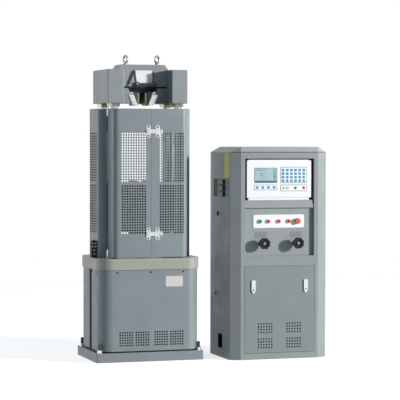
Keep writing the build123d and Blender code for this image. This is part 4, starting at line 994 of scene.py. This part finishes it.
class TESTER_OT_fasteners(bpy.types.Operator):
    """Rear panel of the console with its screws, and the screws of the latches"""
    bl_idname = "tester.fasteners"
    bl_label = "Fasteners"

    def execute(self, context):
        radius = context.scene.tester_sizes.screw_dia / 2
        back = rear_face(CABINET[1][1])
        panel = (-CON_X, *REAR_PANEL)
        plates_piece("rear_panel", back, [panel], "console_paint", "frame_base")
        places = [(x - CON_X, z) for x in REAR_SCREW_X for z in REAR_SCREW_Z]
        screws_piece("rear_panel_screws", back, places, radius, "black_steel", "frame_base",
                     REAR_PANEL[-1])
        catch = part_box("latch_catches")
        half = (catch[1][0] - catch[0][0]) / 2
        latch_face = front_face(DOOR_LEFT[0][1] - LATCH_PLATE_THICK)
        for side, node in (("left", "latch_catches"), ("right", "latch_bases")):
            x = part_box(node)[0][0] + half
            places = [(x, z) for z in LATCH_SCREW_Z]
            screws_piece("latch_screws_" + side, latch_face, places, LATCH_SCREW_RADIUS, "black_steel",
                         side + "_door")
        return {"FINISHED"}


# Blank plates: place across and up, width, height, corner radius and thickness
RATING_PLATE = (0.1615, 0.527, 0.119, 0.070, 0.004, 0.0012)
RIVET_X, RIVET_Z, RIVET_RADIUS = (0.110, 0.213), (0.500, 0.554), 0.0042
CROSSHEAD_PLATE, CROSSHEAD_PLATE_Y = (0.004, 1.880, 0.116, 0.086, 0.003, 0.0012), -0.083
VALVE_PLATE_X, VALVE_PLATE = (-0.126, 0.124), (0.834, 0.082, 0.036, 0.003, 0.001)
SIDE_STRIP = (0.284, 1.293, 0.100, 0.164, 0.002, 0.001)
# The cover plate of the upper grip has to reach at least this far to the front
COVER_PLATE_FRONT = -0.08


class TESTER_OT_plates(bpy.types.Operator):
    """Blank plates on the base, the crosshead and the console"""
    bl_idname = "tester.plates"
    bl_label = "Blank Plates"

    def execute(self, context):
        face, side = front_face(COVER[0][1]), left_face(CABINET[0][0])
        plates_piece("rating_plate", face, [RATING_PLATE], "plate_alloy", "frame_base")
        rivets = [(x, z) for x in RIVET_X for z in RIVET_Z]
        screws_piece("rating_plate_rivets", face, rivets, RIVET_RADIUS, "milled_steel", "frame_base",
                     RATING_PLATE[-1])
        plates_piece("crosshead_plate", front_face(CROSSHEAD_PLATE_Y), [CROSSHEAD_PLATE], "panel_print",
                     "lifting_frame")
        valves = [(CON_X + x, *VALVE_PLATE) for x in VALVE_PLATE_X]
        plates_piece("valve_plates", front_face(PANEL_FACE), valves, "hatch_paint", "frame_base")
        plates_piece("side_strip", side, [SIDE_STRIP], "strip_yellow", "frame_base")
        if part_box("jaw_cover_plate")[0][1] > COVER_PLATE_FRONT:
            raise RuntimeError("the cover plate of the grip isn't where its blank plate goes")
        return {"FINISHED"}


# Display: each field's place from the middle of the console and height, then its width and height
SCREEN_FIELD = (-0.0955, 1.2265, 0.155, 0.093)
KEY_FIELDS = ((0.104, 1.2285, 0.183, 0.100), (0.103, 1.142, 0.183, 0.037), (-0.0965, 1.146, 0.157, 0.030))
FIELD_FRAMES = ((-0.0955, 1.2265, 0.163, 0.101), (0.104, 1.2285, 0.190, 0.107), (0.103, 1.142, 0.190, 0.044),
                (-0.0965, 1.146, 0.163, 0.036))
# Corner radius and thickness of the flat parts on the display and of the keys
FRAME_EDGE, FIELD_EDGE = (0.004, 0.0005), (0.003, 0.0009)
SCREEN_EDGE, MARK_EDGE, KEY_EDGE = (0.002, 0.0012), (0.001, 0.0016), (0.004, 0.0022)
# Marks on the screen: a column of five at the right, and three lines
MARK_COLUMN_X, MARK_COLUMN_LOW, MARK_STEP, MARKS = -0.034, 1.204, 0.0135, 5
MARK_WIDTH, MARK_HEIGHT = 0.018, 0.0085
MARK_LINES = ((-0.130, 1.262, 0.070), (-0.122, 1.2375, 0.034), (-0.128, 1.2255, 0.022))
LINE_HEIGHT = 0.0045
# Keys: the pad of six by four, four menu keys and the row of small keys
KEY_COLUMNS, KEY_ROWS = 6, 4
KEY_X, KEY_X_STEP, KEY_Z, KEY_Z_STEP = 0.027, 0.0296, 1.190, 0.0237
KEY_WIDTH, KEY_HEIGHT, SMALL_KEY = 0.0195, 0.0175, 0.0185
MENU_KEY_X, MENU_KEY_Z = (-0.156, -0.117, -0.077, -0.037), 1.146
SMALL_KEYS = (("grey_keys", (0.030, 0.058), "key_grey"), ("green_key", (0.115,), "signal_green"),
              ("red_key", (0.174,), "signal_red"))
SMALL_KEY_Z = 1.142


class TESTER_OT_display(bpy.types.Operator):
    """Screen and keys of the display unit"""
    bl_idname = "tester.display"
    bl_label = "Display"

    def execute(self, context):
        marks = [(MARK_COLUMN_X, MARK_COLUMN_LOW + MARK_STEP * row, MARK_WIDTH, MARK_HEIGHT)
                 for row in range(MARKS)]
        marks += [(x, z, width, LINE_HEIGHT) for x, z, width in MARK_LINES]
        keys = [(KEY_X + KEY_X_STEP * column, KEY_Z + KEY_Z_STEP * row, KEY_WIDTH, KEY_HEIGHT)
                for column in range(KEY_COLUMNS) for row in range(KEY_ROWS)]
        keys += [(x, MENU_KEY_Z, SMALL_KEY, SMALL_KEY) for x in MENU_KEY_X]
        self.flat_parts("keypad_frames", FIELD_FRAMES, FRAME_EDGE, "frame_print")
        self.flat_parts("keypad_fields", KEY_FIELDS, FIELD_EDGE, "panel_print")
        self.flat_parts("screen", [SCREEN_FIELD], SCREEN_EDGE, "screen")
        self.flat_parts("screen_marks", marks, MARK_EDGE, "screen_mark")
        self.flat_parts("blue_keys", keys, KEY_EDGE, "key_blue")
        for name, places, finish in SMALL_KEYS:
            fields = [(x, SMALL_KEY_Z, SMALL_KEY, SMALL_KEY) for x in places]
            self.flat_parts(name, fields, KEY_EDGE, finish)
        return {"FINISHED"}

    def flat_parts(self, name, fields, edge, finish):
        """Flat parts on the front of the display, all with the same corner radius and thickness."""
        plates = [(CON_X + x, z, width, height, *edge) for x, z, width, height in fields]
        plates_piece(name, front_face(DISPLAY[0][1]), plates, finish, "frame_base")


# Half profiles of the small turned parts: radius and height
WHEEL_CAP = ((0.0112, -0.001), (0.0112, 0.0012), (0.010, 0.0022), (0.0065, 0.0022), (0.0055, 0.0006))
LOCK_CYLINDER = ((0.0043, 0), (0.0043, 0.004), (0.0036, 0.0046), (0.0012, 0.0046), (0.001, 0.003))
BOX_KEY = ((0.0068, -0.0005), (0.0068, 0.0012), (0.0055, 0.002))
BOSS_BACK, LOCK_UP = 0.0045, 0.024
BOX_KEY_PLACES = ((0.010, 0.095), (0.028, 0.095), (0.010, 0.074), (0.028, 0.074), (0.019, 0.050),
                  (0.019, 0.024))


class TESTER_OT_controls(bpy.types.Operator):
    """Caps of the handwheels, lock keyholes and the keys of the button box"""
    bl_idname = "tester.controls"
    bl_label = "Controls"

    def execute(self, context):
        for side in ("left", "right"):
            low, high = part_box("handwheel_" + side)
            centre = ((low[0] + high[0]) / 2, (low[2] + high[2]) / 2)
            turned_piece("handwheel_cap_" + side, front_face(low[1] + BOSS_BACK), [centre], WHEEL_CAP, 24,
                         "plate_dark", side + "_wheel")
            low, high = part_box("lock_handle_" + side)
            keyhole = ((low[0] + high[0]) / 2, low[2] + LOCK_UP)
            turned_piece("lock_cylinder_" + side, front_face(HATCH[0][1]), [keyhole], LOCK_CYLINDER, 20,
                         "black_steel", "hatch")
        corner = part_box("button_box")[0]
        places = [(corner[0] + u, corner[2] + z) for u, z in BOX_KEY_PLACES]
        turned_piece("button_box_keys", front_face(corner[1]), places, BOX_KEY, 16, "key_grey",
                     "lifting_frame")
        return {"FINISHED"}


# Side of the console: places from the front and up, and half profiles of radius and height
SOCKET_U, SOCKET_Z = 0.195, (1.102, 1.141, 1.180)
SOCKET_RING = ((0.0172, -0.008), (0.0172, 0.014), (0.0160, 0.016), (0.0120, 0.016), (0.0110, 0.004))
GLAND_AT, FITTING_AT = (0.101, 0.966), (0.030, 0.422)
GLAND = ((0.0155, 0), (0.0155, 0.003), (0.012, 0.006), (0.0075, 0.006), (0.006, 0.001))
FITTING = ((0.016, 0), (0.016, 0.008), (0.012, 0.008), (0.012, 0.016), (0.009, 0.018), (0.0065, 0.018),
           (0.0055, 0.010))


class TESTER_OT_connections(bpy.types.Operator):
    """Socket rings, gland and pipe fitting on the side of the console"""
    bl_idname = "tester.connections"
    bl_label = "Connections"

    def execute(self, context):
        side = left_face(CABINET[0][0])
        out = CABINET[0][0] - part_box("side_sockets")[0][0]
        ring = [(radius, out + height) for radius, height in SOCKET_RING]
        places = [(SOCKET_U, z) for z in SOCKET_Z]
        turned_piece("socket_rings", side, places, ring, 24, "socket_ivory", "frame_base")
        turned_piece("cable_gland", side, [GLAND_AT], GLAND, 20, "black_moulding", "frame_base")
        turned_piece("pipe_fitting", side, [FITTING_AT], FITTING, 6, "milled_steel", "frame_base")
        return {"FINISHED"}


# Lid seal, a near-black painted shadow line in the seam: plan of the slanted corners, how far it follows
# them, and its section as inset and height
LID_SLANT, LID_CHAMFER, SEAL_REACH = 0.067, 0.030, 0.88
SEAL_SECTION = ((0.001, 0.0), (0.0004, 0.0), (0.0004, 0.004), (0.001, 0.004))


class TESTER_OT_seal(bpy.types.Operator):
    """Near-black seal in the groove at the foot of the console lid, a painted shadow line of the seam"""
    bl_idname = "tester.seal"
    bl_label = "Lid Seal"

    def execute(self, context):
        low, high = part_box("console_lid")
        half = (CABINET[1][0] - CABINET[0][0]) / 2
        bm = bmesh.new()
        front, back = [], []
        for turn, along in ((-1, SEAL_REACH), (-1, 0.0), (1, 0.0), (1, SEAL_REACH)):
            wide = half - LID_SLANT * (1 - along)
            y = CABINET[0][1] + LID_CHAMFER * along
            front.append([bm.verts.new((CON_X + turn * (wide - inset / 2), y + inset, low[2] + z))
                          for inset, z in SEAL_SECTION])
        for turn in (-1, 1):
            x = CON_X + turn * (half - LID_SLANT * (1 - SEAL_REACH))
            back.append([bm.verts.new((x, high[1] - inset, low[2] + z)) for inset, z in SEAL_SECTION])
        ring_faces(bm, front)
        ring_faces(bm, back)
        new_piece("lid_seal_shade", bm, "gap_shade_rubber", "frame_base")
        return {"FINISHED"}


# Floor, background and lamps
FLOOR_SIZE, FLOOR_X, FLOOR_DROP = 6.0, 0.4, 0.0005
FLOOR_DARK, FLOOR_PALE, FLOOR_LIFT = (0.60, 0.60, 0.60), (0.64, 0.64, 0.64), 0.72
SKY_COLOUR, WHITE = (0.50, 0.73, 1.0, 1), (1, 1, 1, 1)
LAMP_TARGET = Vector((0.35, 0.0, 1.0))
KEY_PLACE, KEY_LAMP_SIZE, KEY_TONE = (12.4, -9.4, 4.3), 1.2, (1.0, 0.98, 0.95)
FILL_PLACE, FILL_LAMP_SIZE, FILL_TONE = (-5.4, 2.9, 2.1), 2.6, (1.0, 0.94, 0.86)
# Camera: place, level direction, downward tilt and roll
CAMERA_PLACE, CAMERA_AHEAD = (-3.365, -11.615, 1.457), Vector((0.3102, 0.9507, 0.0))
CAMERA_TILT, CAMERA_ROLL, SENSOR_WIDTH = -0.0330, 0.0018, 36.0


class TESTER_OT_stage(bpy.types.Operator):
    """Floor, light and camera"""
    bl_idname = "tester.stage"
    bl_label = "Stage"

    def execute(self, context):
        settings = context.scene.tester_stage
        self.lay_floor(context.scene)
        self.light_background(context.scene, settings.sky)
        self.add_lamp(context.scene, "key", KEY_PLACE, settings.key_power, KEY_LAMP_SIZE, KEY_TONE)
        self.add_lamp(context.scene, "fill", FILL_PLACE, settings.fill_power, FILL_LAMP_SIZE, FILL_TONE)
        self.place_camera(context.scene, settings.lens)
        context.scene.view_settings.view_transform = "Standard"
        return {"FINISHED"}

    def lay_floor(self, scene):
        bm = bmesh.new()
        bmesh.ops.create_grid(bm, x_segments=8, y_segments=8, size=FLOOR_SIZE)
        mesh = bpy.data.meshes.new("floor")
        bm.to_mesh(mesh)
        bm.free()
        floor = bpy.data.objects.new("floor", mesh)
        floor.location = (FLOOR_X, 0.0, CAD_BOX[0][2] - FLOOR_DROP)
        scene.collection.objects.link(floor)
        finish, nodes, links, bsdf = shader("pale_floor")
        clouds = spread(nodes, links, grain(nodes, links, 0.6), 0, 1)
        links.new(blend_colours(nodes, links, clouds, FLOOR_DARK, FLOOR_PALE), bsdf.inputs["Base Color"])
        links.new(spread(nodes, links, grain(nodes, links, 12.0), 0.8, 0.9), bsdf.inputs["Roughness"])
        lift = nodes.new("ShaderNodeEmission")
        lift.inputs["Color"].default_value = WHITE
        lift.inputs["Strength"].default_value = FLOOR_LIFT
        both = nodes.new("ShaderNodeAddShader")
        links.new(bsdf.outputs["BSDF"], both.inputs[0])
        links.new(lift.outputs["Emission"], both.inputs[1])
        choice = nodes.new("ShaderNodeMixShader")
        links.new(ray_seen(nodes, links, "Is Glossy Ray"), choice.inputs["Fac"])
        links.new(bsdf.outputs["BSDF"], choice.inputs[1])
        links.new(both.outputs["Shader"], choice.inputs[2])
        links.new(choice.outputs["Shader"], nodes["Material Output"].inputs["Surface"])
        mesh.materials.append(finish)

    def light_background(self, scene, strength):
        """Even light from all sides, and plain white where the background itself is seen."""
        world = bpy.data.worlds.new("studio")
        scene.world = world
        world.use_nodes = True
        nodes, links = world.node_tree.nodes, world.node_tree.links
        even = nodes["Background"]
        even.inputs["Color"].default_value = SKY_COLOUR
        even.inputs["Strength"].default_value = strength
        white = nodes.new("ShaderNodeBackground")
        white.inputs["Color"].default_value = WHITE
        white.inputs["Strength"].default_value = 1.0
        choice = nodes.new("ShaderNodeMixShader")
        seen = ray_seen(nodes, links, "Is Glossy Ray", "Is Transmission Ray")
        links.new(seen, choice.inputs["Fac"])
        links.new(even.outputs["Background"], choice.inputs[1])
        links.new(white.outputs["Background"], choice.inputs[2])
        links.new(choice.outputs["Shader"], nodes["World Output"].inputs["Surface"])

    def add_lamp(self, scene, name, place, power, size, tone):
        lamp = bpy.data.lights.new(name, "AREA")
        lamp.energy = power
        lamp.color = tone
        lamp.size = size
        lamp_object = bpy.data.objects.new(name, lamp)
        lamp_object.location = place
        lamp_object.rotation_euler = (LAMP_TARGET - Vector(place)).to_track_quat("-Z", "Y").to_euler()
        scene.collection.objects.link(lamp_object)

    def place_camera(self, scene, lens):
        camera = bpy.data.cameras.new("camera")
        camera.lens = lens
        camera.sensor_width = SENSOR_WIDTH
        across = Vector((CAMERA_AHEAD.y, -CAMERA_AHEAD.x, 0.0))
        view = (CAMERA_AHEAD + Vector((0, 0, CAMERA_TILT))).normalized()
        right = (across + across.cross(view).normalized() * CAMERA_ROLL).normalized()
        up = right.cross(view).normalized()
        place = Matrix((right, up, -view)).transposed().to_4x4()
        place.translation = CAMERA_PLACE
        camera_object = bpy.data.objects.new("camera", camera)
        camera_object.matrix_world = place
        scene.collection.objects.link(camera_object)
        scene.camera = camera_object


OPERATORS = (TESTER_OT_finishes, TESTER_OT_guard, TESTER_OT_vents, TESTER_OT_threads, TESTER_OT_grips,
             TESTER_OT_hinges, TESTER_OT_base, TESTER_OT_fasteners, TESTER_OT_plates, TESTER_OT_display,
             TESTER_OT_controls, TESTER_OT_connections, TESTER_OT_seal, TESTER_OT_stage)


class TESTER_PT_panel(bpy.types.Panel):
    """Dressing steps of the testing machine"""
    bl_idname = "TESTER_PT_panel"
    bl_label = "Testing Machine"
    bl_space_type = "VIEW_3D"
    bl_region_type = "UI"
    bl_category = "Testing Machine"

    def draw(self, context):
        for operator in OPERATORS:
            self.layout.operator(operator.bl_idname)
        scene = context.scene
        for settings in (scene.tester_colours, scene.tester_sizes, scene.tester_stage):
            for name in settings.__annotations__:
                self.layout.prop(settings, name)


CLASSES = (FinishColours, DressingSizes, StageSettings, *OPERATORS, TESTER_PT_panel)


def register():
    for item in CLASSES:
        bpy.utils.register_class(item)
    bpy.types.Scene.tester_colours = bpy.props.PointerProperty(type=FinishColours)
    bpy.types.Scene.tester_sizes = bpy.props.PointerProperty(type=DressingSizes)
    bpy.types.Scene.tester_stage = bpy.props.PointerProperty(type=StageSettings)


def unregister():
    del bpy.types.Scene.tester_stage
    del bpy.types.Scene.tester_sizes
    del bpy.types.Scene.tester_colours
    for item in reversed(CLASSES):
        bpy.utils.unregister_class(item)


def main():
    register()
    for operator in OPERATORS:
        group, name = operator.bl_idname.split(".")
        getattr(getattr(bpy.ops, group), name)()


if __name__ == "__main__":
    main()
